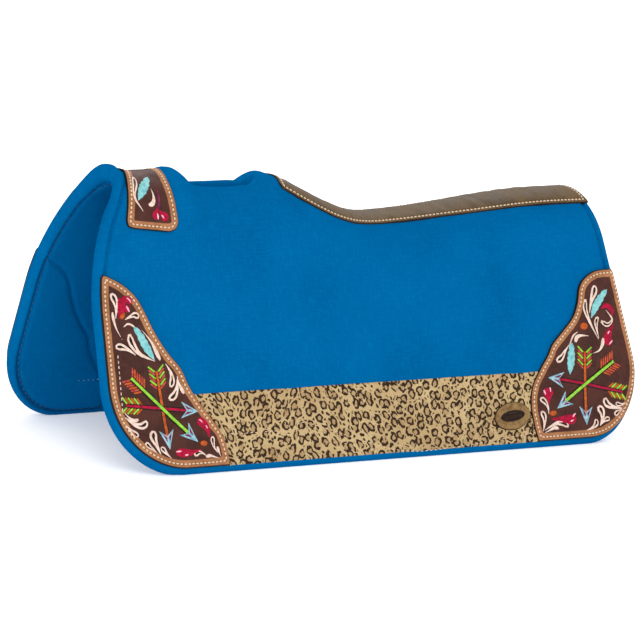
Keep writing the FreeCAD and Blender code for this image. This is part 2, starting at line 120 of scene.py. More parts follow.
def crown(x):
    """Radius and centre height of the arch that joins the flaps, and the height where it ends."""
    height = ridge_height(x)
    radius = (APEX - height) * SIN / (1.0 - SIN)
    return radius, height - radius, height - radius + radius * SIN


def skin(x, s, lift=0.0):
    """Points on the felt's outer face, raised by a lift, as rows of x, y, z."""
    x, s, lift = np.broadcast_arrays(np.asarray(x, float), np.asarray(s, float), np.asarray(lift, float))
    side, depth = np.where(s < 0.0, -1.0, 1.0), np.abs(s)
    radius, centre, shoulder = crown(x)
    arch = radius * (math.pi / 2.0 - LEAN)
    straight = (shoulder - FLARE_HEIGHT) / COS
    turn = np.minimum(depth, arch) / radius
    run = np.clip(depth - arch, 0.0, straight)
    bend = LEAN + np.maximum(depth - arch - straight, 0.0) / FLARE_RADIUS
    y = (radius + lift) * np.sin(turn) + run * SIN
    z = centre + (radius + lift) * np.cos(turn) - run * COS
    flared = bend > LEAN
    y = np.where(flared, FLARE_Y - (FLARE_RADIUS - lift) * np.cos(bend), y)
    z = np.where(flared, FLARE_Z - (FLARE_RADIUS - lift) * np.sin(bend), z)
    return np.stack([x, side * y, z], -1)


def depth_of(x, z):
    """Distance round from the ridge to height z."""
    x, z = np.broadcast_arrays(np.asarray(x, float), np.asarray(z, float))
    radius, centre, shoulder = crown(x)
    arch = radius * (math.pi / 2.0 - LEAN)
    over = radius * np.arccos(np.clip((z - centre) / radius, -1.0, 1.0))
    down = arch + (shoulder - z) / COS
    flare_start = arch + (shoulder - FLARE_HEIGHT) / COS
    tilt = np.arcsin(np.clip((FLARE_Z - z) / FLARE_RADIUS, -1.0, 1.0))
    out = flare_start + FLARE_RADIUS * (tilt - LEAN)
    return np.where(z >= shoulder, over, np.where(z >= FLARE_HEIGHT, down, out))


def on_felt(points):
    """Side-view points (x, z) as (x, s)."""
    points = np.asarray(points, float)
    return np.stack([points[:, 0], depth_of(points[:, 0], points[:, 1])], 1)


# ---------------------------------------------------------------- outlines

def even(points, step):
    """A line resampled at an even spacing."""
    points = np.asarray(points, float)
    along = np.concatenate([[0.0], np.cumsum(np.hypot(*np.diff(points, axis=0).T))])
    count = max(int(round(along[-1] / step)), 1)
    at = np.linspace(0.0, along[-1], count + 1)
    return np.stack([np.interp(at, along, points[:, i]) for i in range(points.shape[1])], 1)


def flowing(points, share=12):
    """A smooth line through a few chosen points (a Catmull-Rom curve)."""
    p = np.asarray(points, float)
    p = np.vstack([2.0 * p[0] - p[1], p, 2.0 * p[-1] - p[-2]])
    t = np.linspace(0.0, 1.0, share, endpoint=False)[:, None]
    runs = []
    for a, b, c, d in zip(p, p[1:], p[2:], p[3:]):
        runs.append(0.5 * (2.0 * b + (c - a) * t + (2.0 * a - 5.0 * b + 4.0 * c - d) * t ** 2
                           + (3.0 * b - a - 3.0 * c + d) * t ** 3))
    return np.vstack(runs + [p[-2:-1]])


def arc(centre, radius, start, end, step=3.0):
    """Points round an arc, angles in degrees."""
    count = max(int(abs(math.radians(end - start)) * radius / step), 2)
    angle = np.radians(np.linspace(start, end, count + 1))
    return np.stack([centre[0] + radius * np.cos(angle), centre[1] + radius * np.sin(angle)], 1)


def front_x(z, inset):
    """x of the pad's front edge at height z."""
    rise = np.clip(z - FRONT_STRAIGHT, 0.0, FRONT_RISE + 12.0)
    return -HALF_LENGTH + FRONT_RADIUS - np.sqrt((FRONT_RADIUS - inset) ** 2 - rise ** 2)


def rear_x(z, inset, bottom):
    """x of the pad's rear edge at height z."""
    radius = REAR_CORNER - inset
    calf = bottom + radius * (1.0 + math.sin(REAR_LEAN))
    return HALF_LENGTH - inset - radius * (1.0 - math.cos(REAR_LEAN)) - (z - calf) * math.tan(REAR_LEAN)


def end_edge(edge, inset, bottom, lowest):
    """A front or rear edge as (x, s) from the ridge down to a height."""
    line = []
    x = edge(FLARE_HEIGHT, inset, bottom)
    for s in np.arange(0.0, 400.0, 3.0):
        for _ in range(8):
            z = float(skin(x, s)[2])
            x = float(edge(z, inset, bottom))
        if z < lowest:
            break
        line.append((x, s))
    return line


def pad_rim(inset, bottom):
    """The rim of one half as (x, s): down the front, along the foot and up the rear to the ridge."""
    front, rear = FRONT_CORNER - inset, REAR_CORNER - inset
    hub_front = (-HALF_LENGTH + inset + front, bottom + front)
    hub_rear = (HALF_LENGTH - inset - rear, bottom + rear)
    down = end_edge(lambda z, i, b: front_x(z, i), inset, bottom, hub_front[1] + 1.0)
    up = end_edge(rear_x, inset, bottom, hub_rear[1] + rear * math.sin(REAR_LEAN) + 1.0)
    corner = arc(hub_front, front, 180.0, 270.0)
    heel = arc(hub_rear, rear, -90.0, math.degrees(REAR_LEAN))
    foot = even([corner[-1], heel[0]], 4.0)
    return np.vstack([down, on_felt(corner), on_felt(foot)[1:-1], on_felt(heel), up[::-1]])


# The inner edge of each wear leather from its tip to its foot, as shares of its reach along the pad
# and of its height.
FRONT_SWEEP = ((0.05, 1.0), (0.16, 0.965), (0.255, 0.922), (0.35, 0.85), (0.46, 0.69), (0.56, 0.58),
               (0.655, 0.5), (0.71, 0.41), (0.79, 0.32), (0.88, 0.235), (0.95, 0.155), (0.98, 0.07),
               (0.985, 0.0))
REAR_SWEEP = ((0.14, 1.0), (0.3, 0.993), (0.41, 0.955), (0.475, 0.9), (0.51, 0.805), (0.57, 0.72),
              (0.68, 0.64), (0.79, 0.565), (0.845, 0.5), (0.93, 0.42), (1.015, 0.325), (1.052, 0.22),
              (1.052, 0.11), (1.035, 0.0))
TRIM_INSET = 9.0       # height of the trim's lower edge
EDGE_GAP = 1.5         # the trim stops this far inside the pad's rear end, and a little more at its front
FRONT_GAP = 4.0
FRONT_TIP, FRONT_FOOT = 238.0, 164.0
REAR_TIP, REAR_FOOT = 213.0, 166.0


def wear_loop(sweep, forward, height, foot):
    """Closed outline of a wear leather as (x, s)."""
    corner = -forward * HALF_LENGTH
    inner = [(corner + forward * foot * u, TRIM_INSET + (height - TRIM_INSET) * v) for u, v in sweep]
    inner = on_felt(even(flowing(inner), 3.0))
    rim = pad_rim(FRONT_GAP if forward > 0 else EDGE_GAP, TRIM_INSET)
    rim = rim[rim[:, 1] > inner[0, 1] - 3.0]
    outer = rim[forward * rim[:, 0] < forward * inner[-1, 0] - 1.5][::forward]
    room = np.interp(inner[:, 1], outer[:, 1], outer[:, 0])
    inner = inner[(forward * inner[:, 0] > forward * room + 0.5) | (inner[:, 1] > 200.0)]
    outer = outer[outer[:, 1] > inner[0, 1] + 1.0]
    return even(np.vstack([inner, outer[::-1], inner[:1]]), 3.0)[:-1]


# ---------------------------------------------------------------- meshes

def to_line(points, line):
    """Distance from each point to the nearest stretch of a line."""
    points, line = np.asarray(points, float), np.asarray(line, float)
    best = np.full(len(points), 1e9)
    for a, b in zip(line, line[1:]):
        run = b - a
        share = np.clip(((points - a) @ run) / max(run @ run, 1e-12), 0.0, 1.0)
        best = np.minimum(best, np.hypot(*(points - a - share[:, None] * run).T))
    return best


def closed(loop):
    """The outline with its first point again at its end."""
    return np.vstack([loop, loop[:1]])


def inside(points, loop):
    """Which points lie inside a closed outline."""
    points, loop = np.asarray(points, float), np.asarray(loop, float)
    found = np.zeros(len(points), bool)
    for (x0, y0), (x1, y1) in zip(loop, np.roll(loop, -1, 0)):
        if y0 != y1:
            level = (points[:, 1] > y0) != (points[:, 1] > y1)
            found ^= level & (points[:, 0] < (x1 - x0) * (points[:, 1] - y0) / (y1 - y0) + x0)
    return found


def fill(loop, spacing, rings=(), rims=None, holes=(), rows=()):
    """Triangles filling a closed outline: flat points, faces, and each point's distance from the rim."""
    loops = [loop] + list(holes)
    rims = [closed(one) for one in loops] if rims is None else rims
    low, high = loop.min(0), loop.max(0)
    bands = []
    for depth in rings:
        for rim in rims:
            run = np.gradient(rim, axis=0)
            out = np.stack([-run[:, 1], run[:, 0]], 1) / np.maximum(np.hypot(*run.T), 1e-9)[:, None]
            bands += [rim + out * depth, rim - out * depth]
    across = np.arange(low[0], high[0], spacing)
    for i, level in enumerate(np.arange(low[1], high[1], spacing * 0.87)):
        bands.append(np.stack([across + (i % 2) * spacing / 2.0, np.full(len(across), level)], 1))
    ring_bands = len(rings) * len(rims) * 2
    bands += [np.asarray(row, float) for row in rows]
    kept, taken = [], set()
    reach = (rings[-1] if rings else 0.0) + 0.55 * spacing
    for index, band in enumerate(bands):
        band = band[inside(band, loop)]
        for hole in holes:
            band = band[~inside(band, hole)]
        if not len(band):
            continue
        away = np.min([to_line(band, rim) for rim in rims], 0)
        if index < ring_bands:
            band = band[away > rings[index // (2 * len(rims))] * 0.97]
            cell = spacing * 0.45
        else:
            band = band[away > reach] if index < len(bands) - len(rows) else band
            cell = spacing * 0.3
        for p in band:
            key = (round(p[0] / cell), round(p[1] / cell),
                   index // (2 * len(rims)) if index < ring_bands else -1)
            if key not in taken:
                taken.add(key)
                kept.append(p)
    edges, start = [], 0
    for one in loops:
        edges += [(start + i, start + (i + 1) % len(one)) for i in range(len(one))]
        start += len(one)
    flat = np.vstack(loops + ([np.array(kept)] if kept else []))
    coords, _, faces, *_ = delaunay_2d_cdt([Vector(p) for p in flat], edges, [], 0, 1e-5)
    flat = np.array([tuple(c) for c in coords])
    faces = np.array(faces)
    middle = flat[faces].mean(1)
    good = inside(middle, loop)
    for hole in holes:
        good &= ~inside(middle, hole)
    faces = faces[good]
    a, b, c = (flat[faces[:, i]] for i in range(3))
    area = (b[:, 0] - a[:, 0]) * (c[:, 1] - a[:, 1]) - (b[:, 1] - a[:, 1]) * (c[:, 0] - a[:, 0])
    faces = faces[np.abs(area) > 1e-7]
    area = area[np.abs(area) > 1e-7]
    faces[area < 0.0] = faces[area < 0.0][:, ::-1]
    used = np.unique(faces)
    renumber = np.full(len(flat), -1)
    renumber[used] = np.arange(len(used))
    flat, faces = flat[used], renumber[faces]
    return flat, faces, np.min([to_line(flat, rim) for rim in rims], 0)


def belongs(item, body, slot, *nodes):
    """The piece moves with a body and takes the place of its CAD nodes."""
    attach(item, body)
    if nodes:
        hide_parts(*nodes)


class Piece:
    """Collects closed shells that lie on the felt and turns them into one mesh object."""

    def __init__(self, name):
        self.name = name
        self.points, self.faces, self.plan, self.distance, self.finish = [], [], [], [], []
        self.count = 0

    def shell(self, flat, faces, distance, top, bottom, side=1.0, finish=0):
        """A closed shell between two lifts over flat points, mirrored to a side."""
        flat = flat * (1.0, side)
        faces = faces if side > 0 else faces[:, ::-1]
        n = len(flat)
        once = {}
        for a, b in np.vstack([faces[:, [0, 1]], faces[:, [1, 2]], faces[:, [2, 0]]]).tolist():
            if (b, a) in once:
                del once[(b, a)]
            else:
                once[(a, b)] = True
        walls = [(b, a, a + n, b + n) for a, b in once]
        start = self.count
        self.points += [skin(flat[:, 0], flat[:, 1], top), skin(flat[:, 0], flat[:, 1], bottom)]
        made = faces.tolist() + (faces[:, ::-1] + n).tolist() + walls
        self.faces += [tuple(start + i for i in face) for face in made]
        self.finish += [finish] * len(made)
        self.plan += [flat, flat]
        self.distance += [distance, distance]
        self.count += 2 * n

    def build(self, *materials):
        mesh = bpy.data.meshes.new(self.name)
        points = np.vstack(self.points)
        points[:, 2] = np.maximum(points[:, 2], 0.0)
        mesh.from_pydata((points * MM).tolist(), [], self.faces)
        mesh.polygons.foreach_set("use_smooth", [True] * len(mesh.polygons))
        mesh.polygons.foreach_set("material_index", self.finish)
        corner = np.zeros(len(mesh.loops), np.int32)
        mesh.loops.foreach_get("vertex_index", corner)
        plan = np.vstack(self.plan) * MM
        mesh.uv_layers.new(name="plan").data.foreach_set("uv", plan[corner].astype(np.float32).ravel())
        distance = mesh.attributes.new("edge_distance", "FLOAT", "POINT")
        distance.data.foreach_set("value", np.concatenate(self.distance).astype(np.float32))
        for material in materials:
            mesh.materials.append(material)
        mesh.update()
        item = bpy.data.objects.new(self.name, mesh)
        bpy.context.scene.collection.objects.link(item)
        return item


def ripple(x, s, wave, seed):
    """Gentle waves in no particular direction, from -1 to 1."""
    chance = np.random.default_rng(seed)
    total = np.zeros_like(np.asarray(x, float))
    for _ in range(7):
        angle, phase = chance.uniform(0, math.pi), chance.uniform(0, 2 * math.pi)
        length = wave * chance.uniform(0.7, 1.5)
        total = total + np.sin((x * math.cos(angle) + s * math.sin(angle)) * 2 * math.pi / length + phase)
    return total / 3.5


def rounded_edge(d, reach, drop):
    """0 inside, falling by drop over the last stretch to a rounded rim."""
    t = np.clip(1.0 - d / reach, 0.0, 1.0)
    return -drop * (1.0 - np.sqrt(1.0 - t * t))


EDGE_REACH, EDGE_DROP = 8.0, 8.5


# ---------------------------------------------------------------- materials

def srgb(red, green, blue):
    """A colour as a dyer would match it on a screen, 0 to 255, in linear light."""
    values = [c / 255.0 for c in (red, green, blue)]
    return tuple(c / 12.92 if c <= 0.04045 else ((c + 0.055) / 1.055) ** 2.4 for c in values) + (1.0,)


class Finish:
    """A material and a short way to add nodes to it."""

    def __init__(self, name, roughness, sheen=0.0, coat=0.0, specular=0.5):
        self.material = bpy.data.materials.new(name)
        self.material.use_nodes = True
        self.tree = self.material.node_tree
        self.shader = self.tree.nodes["Principled BSDF"]
        self.shader.inputs["Roughness"].default_value = roughness
        self.shader.inputs["Sheen Weight"].default_value = sheen
        self.shader.inputs["Sheen Roughness"].default_value = 0.5
        self.shader.inputs["Coat Weight"].default_value = coat
        self.shader.inputs["Coat Roughness"].default_value = 0.35
        self.shader.inputs["Specular IOR Level"].default_value = specular
        self.height = None

    def node(self, kind, out=0, **values):
        """Adds a node. Values are sockets by name or number, or settings of the node itself."""
        made = self.tree.nodes.new("ShaderNode" + kind)
        for key, value in values.items():
            key = key.replace("_", " ") if key.replace("_", " ") in made.inputs else key
            if key[0] == "i" and key[1:].isdigit():
                key = int(key[1:])
            elif key not in made.inputs:
                setattr(made, key, value)
                continue
            if isinstance(value, bpy.types.NodeSocket):
                self.tree.links.new(value, made.inputs[key])
            else:
                made.inputs[key].default_value = value
        return made.outputs[out]

    def plan(self, across=1.0, along=1.0, turn=0.0):
        """Coordinates on the surface itself, in metres, stretched and turned."""
        place = self.node("UVMap", uv_map="plan")
        return self.node("Mapping", Vector=place, Scale=(across, along, 1.0), Rotation=(0.0, 0.0, turn))

    def solid(self):
        return self.node("TexCoord", 3)

    def noise(self, scale, detail=3.0, roughness=0.55, vector=None, distortion=0.0):
        vector = self.solid() if vector is None else vector
        return self.node("TexNoise", Vector=vector, Scale=scale, Detail=detail, Roughness=roughness,
                         Distortion=distortion)

    def math(self, operation, a, b=0.0, c=0.0):
        return self.node("Math", operation=operation, i0=a, i1=b, i2=c)

    def ramp(self, value, low, high):
        """0 below low, 1 above high."""
        return self.node("MapRange", interpolation_type="SMOOTHSTEP", i0=value, i1=low, i2=high)

    def fade(self, value, low, high):
        """1 below low, 0 above high."""
        return self.math("SUBTRACT", 1.0, self.ramp(value, low, high))

    def veil(self, value, low, high, share, a, b):
        """Colour a with some of b wherever a value is high."""
        return self.blend(self.math("MULTIPLY", self.ramp(value, low, high), share), a, b)

    def blend(self, share, a, b):
        made = self.tree.nodes.new("ShaderNodeMix")
        made.data_type = "RGBA"
        for key, value in ((0, share), (6, a), (7, b)):
            if isinstance(value, bpy.types.NodeSocket):
                self.tree.links.new(value, made.inputs[key])
            else:
                made.inputs[key].default_value = value
        return made.outputs[2]

    def edge_distance(self):
        return self.node("Attribute", 2, attribute_name="edge_distance")

    def colour(self, value):
        self.tree.links.new(value, self.shader.inputs["Base Color"])

    def rough(self, value):
        self.tree.links.new(value, self.shader.inputs["Roughness"])

    def bump(self, value, strength, distance):
        """Adds a layer of relief over the ones before it."""
        made = self.tree.nodes.new("ShaderNodeBump")
        made.inputs["Strength"].default_value = strength
        made.inputs["Distance"].default_value = distance
        self.tree.links.new(value, made.inputs["Height"])
        if self.height is not None:
            self.tree.links.new(self.height, made.inputs["Normal"])
        self.height = made.outputs[0]
        self.tree.links.new(self.height, self.shader.inputs["Normal"])


def pressed_felt(name, colour, deep, pale):
    """Dense wool: fine matted fibres, faint streaks from the press cloth, a soft nap."""
    felt = Finish(name, 0.96, specular=0.0)
    cloud = felt.noise(9.0, 3.0)
    fibres = felt.noise(620.0, 4.0, 0.7)
    along = felt.noise(1.0, 3.0, 0.6, felt.plan(60.0, 420.0))
    upright = felt.noise(1.0, 3.0, 0.6, felt.plan(420.0, 60.0))
    weave = felt.math("ADD", along, upright)
    base = felt.blend(felt.ramp(cloud, 0.3, 0.75), colour, deep)
    base = felt.veil(weave, 0.85, 1.3, 0.35, base, pale)
    base = felt.veil(fibres, 0.5, 0.72, 0.3, base, pale)
    felt.colour(base)
    felt.bump(cloud, 0.25, 0.004)
    felt.bump(weave, 0.2, 0.0008)
    felt.bump(fibres, 0.4, 0.0006)
    return felt.material


BORDER = 10.0          # width of the tan border round each tooled leather
SEAM_IN = 5.0          # stitching runs this far in from each leather's rim


def tooled_leather():
    """Tan border with a dark-stained, matted centre and black edges, and painted shade along the stitch
    groove.
    """
    hide = Finish("tooled_leather", 0.5, specular=0.12)
    d = hide.edge_distance()
    mottle, grain = hide.noise(38.0, 4.0, 0.6), hide.noise(520.0, 3.0, 0.6)
    pores = hide.node("TexVoronoi", Vector=hide.solid(), Scale=900.0)
    tan = hide.blend(hide.ramp(mottle, 0.3, 0.7), srgb(172, 118, 80), srgb(146, 96, 62))
    tan = hide.veil(grain, 0.45, 0.7, 0.35, tan, srgb(112, 70, 46))
    centre = hide.blend(hide.ramp(mottle, 0.35, 0.7), srgb(76, 42, 35), srgb(58, 32, 27))
    centre = hide.veil(grain, 0.5, 0.75, 0.35, centre, srgb(98, 64, 54))
    wander = hide.math("MULTIPLY_ADD", hide.noise(160.0, 2.0), 1.6, -0.8)
    stained = hide.ramp(hide.math("ADD", d, wander), BORDER - 0.6, BORDER + 0.5)
    # Painted shade: the tan darkens in a band along the stitch groove, about 5 mm in from the rim.
    stitch_groove_shade = hide.math("MULTIPLY", hide.ramp(d, 3.0, 4.6), hide.fade(d, 5.4, 7.0))
    tan = hide.blend(hide.math("MULTIPLY", stitch_groove_shade, 0.35), tan, srgb(92, 54, 32))
    colour = hide.blend(stained, tan, centre)
    colour = hide.blend(hide.fade(d, 0.5, 1.5), colour, srgb(28, 20, 18))
    hide.colour(colour)
    hide.rough(hide.node("MapRange", i0=mottle, i1=0.3, i2=0.7, i3=0.42, i4=0.62))
    hide.bump(grain, 0.35, 0.0006)
    hide.bump(pores, 0.2, 0.0003)
    return hide.material


def oiled_leather():
    """Greasy brown bridle leather, drawn into puckers along its stitching."""
    hide = Finish("oiled_leather", 0.5, specular=0.1)
    d = hide.edge_distance()
    cloud = hide.noise(22.0, 5.0, 0.65)
    creases = hide.noise(1.0, 4.0, 0.6, hide.plan(95.0, 26.0), 0.6)
    grain = hide.noise(700.0, 3.0, 0.6)
    colour = hide.blend(hide.ramp(cloud, 0.3, 0.7), srgb(74, 57, 34), srgb(98, 76, 47))
    colour = hide.veil(creases, 0.5, 0.78, 0.6, colour, srgb(52, 40, 28))
    colour = hide.veil(grain, 0.5, 0.75, 0.3, colour, srgb(112, 92, 60))
    colour = hide.blend(hide.fade(d, 0.3, 1.1), colour, srgb(40, 28, 20))
    hide.colour(colour)
    hide.rough(hide.node("MapRange", i0=cloud, i1=0.3, i2=0.7, i3=0.45, i4=0.62))
    hide.bump(creases, 0.6, 0.0022)
    hide.bump(grain, 0.25, 0.0004)
    return hide.material


def embossed_leather():
    """Undyed russet leather with a darkened, hand-worn surface."""
    hide = Finish("embossed_leather", 0.5, specular=0.12)
    cloud, grain = hide.noise(120.0, 4.0, 0.65), hide.noise(900.0, 2.0)
    tone = hide.blend(hide.ramp(cloud, 0.35, 0.7), srgb(146, 116, 74), srgb(104, 78, 46))
    tone = hide.veil(grain, 0.45, 0.7, 0.3, tone, srgb(76, 56, 34))
    hide.colour(hide.blend(hide.fade(hide.edge_distance(), 0.3, 1.2), tone,
                           srgb(52, 36, 22)))
    hide.bump(cloud, 0.4, 0.001)
    hide.bump(grain, 0.3, 0.0004)
    return hide.material


def leopard_hide():
    """Short lying hair with broken dark rosettes."""
    fur = Finish("leopard_hide", 0.7, specular=0.12)
    place = fur.plan(1.0, 0.86, -0.3)
    shift = fur.node("TexNoise", 1, Vector=place, Scale=150.0, Detail=1.0)
    bent = fur.node("VectorMath", operation="MULTIPLY_ADD", i0=shift, i1=(0.006, 0.006, 0.0), i2=place)
    ring = fur.node("TexVoronoi", voronoi_dimensions="2D", Vector=bent, Scale=78.0, Randomness=0.62)
    tone = fur.node("TexVoronoi", 1, voronoi_dimensions="2D", Vector=bent, Scale=78.0, Randomness=0.62)
    ragged = fur.math("MULTIPLY_ADD", fur.noise(420.0, 2.0, 0.6, place), 0.16, -0.08)
    edge = fur.math("ADD", ring, ragged)
    band = fur.math("MULTIPLY", fur.ramp(edge, 0.17, 0.24), fur.fade(edge, 0.40, 0.46))
    broken = fur.ramp(fur.noise(165.0, 1.0, 0.5, place), 0.37, 0.45)
    rosette = fur.math("MULTIPLY", band, broken)
    dots = fur.node("TexVoronoi", voronoi_dimensions="2D", Vector=bent, Scale=170.0, Randomness=1.0)
    between = fur.ramp(ring, 0.55, 0.62)
    fleck = fur.math("MULTIPLY", fur.fade(dots, 0.26, 0.36), between)
    marks = fur.math("MAXIMUM", rosette, fleck)
    hair = fur.noise(1.0, 3.0, 0.65, fur.plan(1500.0, 230.0, 0.35))
    cloud = fur.noise(16.0, 3.0)
    coat = fur.blend(fur.ramp(cloud, 0.3, 0.7), srgb(190, 164, 118), srgb(168, 138, 94))
    coat = fur.blend(fur.math("MULTIPLY", fur.fade(ring, 0.16, 0.34), 0.6), coat, srgb(140, 104, 66))
    chance = fur.node("SeparateColor", i0=tone)
    coat = fur.blend(fur.math("MULTIPLY", chance, 0.18), coat, srgb(206, 184, 144))
    coat = fur.veil(hair, 0.42, 0.75, 0.45, coat, srgb(212, 192, 152))
    dark = fur.blend(fur.ramp(hair, 0.4, 0.8), srgb(34, 20, 12), srgb(80, 54, 32))
    fur.colour(fur.blend(marks, coat, dark))
    fur.bump(hair, 0.55, 0.0009)
    return fur.material


def paint(name, colour, shade, gloss=0.4):
    """Acrylic leather paint, brushed on and slightly uneven."""
    coat = Finish(name, gloss, specular=0.15)
    uneven = coat.noise(210.0, 3.0, 0.6)
    brush = coat.noise(1.0, 2.0, 0.5, coat.plan(900.0, 260.0, 0.6))
    tint = coat.blend(coat.ramp(uneven, 0.35, 0.7), colour, shade)
    coat.colour(coat.veil(brush, 0.5, 0.8, 0.3, tint, shade))
    coat.bump(brush, 0.3, 0.0004)
    return coat.material


def thread(name, colour, shade):
    """Waxed twisted thread."""
    cord = Finish(name, 0.55, sheen=0.1)
    twist = cord.node("TexWave", Vector=cord.solid(), Scale=260.0, Distortion=2.0, Detail=2.0)
    fuzz = cord.noise(900.0, 2.0)
    cord.colour(cord.blend(cord.ramp(cord.math("ADD", twist, fuzz), 0.6, 1.4), shade, colour))
    cord.bump(twist, 0.4, 0.0003)
    return cord.material


FELT = pressed_felt("blue_felt", srgb(0, 93, 149), srgb(0, 85, 139), srgb(4, 108, 166))
TOOLED, OILED, LEOPARD, EMBOSSED = tooled_leather(), oiled_leather(), leopard_hide(), embossed_leather()
CREAM_THREAD = thread("cream_thread", srgb(236, 212, 182), srgb(196, 160, 122))
BLUE_THREAD = thread("blue_thread", srgb(0, 84, 140), srgb(0, 52, 92))
PAINTS = {
    "cream": paint("cream_paint", srgb(232, 208, 194), srgb(206, 174, 156)),
    "crimson": paint("crimson_paint", srgb(178, 6, 54), srgb(126, 6, 38), 0.3),
    "pink": paint("pink_paint", srgb(252, 196, 214), srgb(240, 150, 180), 0.25),
    "turquoise": paint("turquoise_paint", srgb(140, 200, 200), srgb(92, 168, 174)),
    "orange": paint("orange_paint", srgb(196, 92, 34), srgb(150, 62, 20)),
    "lime": paint("lime_paint", srgb(150, 208, 66), srgb(112, 172, 40)),
    "sky": paint("sky_paint", srgb(158, 196, 206), srgb(104, 150, 170)),
    "plum": paint("plum_paint", srgb(130, 36, 84), srgb(92, 24, 58)),
    "coral": paint("coral_paint", srgb(196, 78, 70), srgb(144, 36, 36)),
    "umber": paint("umber_paint", srgb(36, 20, 16), srgb(24, 14, 12), 0.5),
}
PAINT_ORDER = list(PAINTS)

# ---------------------------------------------------------------- felt


def bend_at_fold(item):
    """Bakes the piece's placement into its mesh."""
    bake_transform(item)


def relief_notch():
    """Half of the wither relief opening as (x, s), from its rear end to its front end."""
    angle = np.linspace(0.0, math.pi, 40)
    x = RELIEF_CENTRE + RELIEF_LONG / 2.0 * np.cos(angle)
    radius = crown(x)[0]
    return np.stack([x, radius * np.arcsin(RELIEF_WIDE / 2.0 * np.sin(angle) / radius)], 1)


FRONT_LOOP = wear_loop(FRONT_SWEEP, 1, FRONT_TIP, FRONT_FOOT)
REAR_LOOP = wear_loop(REAR_SWEEP, -1, REAR_TIP, REAR_FOOT)
FELT_RIM = pad_rim(0.0, FOOT_RISE)
NOTCH = relief_notch()
STRIP_TOP = 93.0


def inset_loop(loop, depth):
    """The outline drawn in by a depth."""
    loop = np.asarray(loop, float)
    run = np.roll(loop, -1, 0) - np.roll(loop, 1, 0)
    out = np.stack([-run[:, 1], run[:, 0]], 1) / np.maximum(np.hypot(*run.T), 1e-9)[:, None]
    area = np.sum(loop[:, 0] * np.roll(loop[:, 1], -1) - np.roll(loop[:, 0], -1) * loop[:, 1])
    moved = loop + out * depth * (1.0 if area > 0 else -1.0)
    return moved[to_line(moved, closed(loop)) > depth * 0.97]


def front_lip(x, s):
    """The front edge rolls upward over the withers."""
    away = x - np.interp(s, FELT_RIM[:60, 1], FELT_RIM[:60, 0])
    return 8.5 * smooth((62.0 - s) / 46.0) * bell(away, 4.5, 9.5)


def drawn_in(x, s):
    """The wither patch's stitching draws the felt down a little across the ridge."""
    along = smooth((x + 328.0) / 12.0) * smooth((-266.0 - x) / 10.0)
    return -2.6 * along * smooth((62.0 - np.abs(s)) / 40.0)


def felt_relief(flat, rim_away, notch_away):
    """Lift of the felt's outer face: rounded rims, stitched grooves, rolled lip and soft swell."""
    x, s = flat.T
    lift = rounded_edge(rim_away, EDGE_REACH, EDGE_DROP) + rounded_edge(notch_away, 4.0, 5.0)
    lift += drawn_in(x, s)
    seam = SEAM + 7.0 * smooth((50.0 - s) / 40.0) * smooth((-250.0 - x) / 40.0)
    lift += 0.9 * bell(rim_away, 5.5, 2.6) - 3.8 * bell(rim_away, seam, 2.1)
    lift -= 0.9 * bell(notch_away, 9.5, 2.2)
    lift += 0.7 * (1.0 - np.exp(-np.maximum(rim_away - SEAM, 0.0) / 9.0))
    lift += front_lip(x, s)
    lift += 2.6 * bell(x, -259.0, 8.0) * smooth((85.0 - s) / 40.0)
    field = smooth((rim_away - 16.0) / 30.0) * smooth((notch_away - 14.0) / 30.0)
    return lift + field * (0.8 * ripple(x, s, 150.0, 3) + 0.25 * ripple(x, s, 46.0, 5))


def lining_relief(flat, rim_away, notch_away):
    """Lift of the inner face, with the dents that the through stitching leaves."""
    lift = -PAD_THICK - rounded_edge(rim_away, EDGE_REACH, EDGE_DROP) - rounded_edge(notch_away, 6.0, 7.0)
    lift += -0.8 * bell(rim_away, 5.5, 2.6) + 3.0 * bell(rim_away, SEAM, 2.0)
    for loop in (FRONT_LOOP, REAR_LOOP):
        lift += 3.0 * bell(to_line(flat, closed(inset_loop(loop, SEAM_IN))), 0.0, 2.4)
    return lift + 0.8 * front_lip(*flat.T) + 0.5 * ripple(flat[:, 0], flat[:, 1], 110.0, 8)


def felt_plan():
    """Flat points and faces of one half of the felt."""
    back = even([(FELT_RIM[-1, 0], 0.0), (NOTCH[0, 0], 0.0)], 4.0)
    ahead = even([(NOTCH[-1, 0], 0.0), (FELT_RIM[0, 0], 0.0)], 4.0)
    loop = np.vstack([FELT_RIM[:-1], back[:-1], NOTCH, ahead[1:-1]])
    loop[np.abs(loop[:, 1]) < 1e-6, 1] = 0.0
    rows = [even([(FELT_RIM[0, 0] + 14.0, level), (FELT_RIM[-1, 0] - 14.0, level)], 5.0)
            for level in (1.0, 3.0)]
    for wear in (FRONT_LOOP, REAR_LOOP):
        rows += [closed(inset_loop(wear, depth)) for depth in (1.0, 3.0, 5.0, 7.0, 9.0)]
    rings = (0.5, 1.6, 3.2, 5.2, 7.2, 9.0, 10.2, 11.2, 12.4, 14.2, 17.0)
    flat, faces, _ = fill(loop, 6.0, rings, [FELT_RIM, NOTCH], rows=rows)
    return flat, faces, to_line(flat, FELT_RIM), to_line(flat, NOTCH)


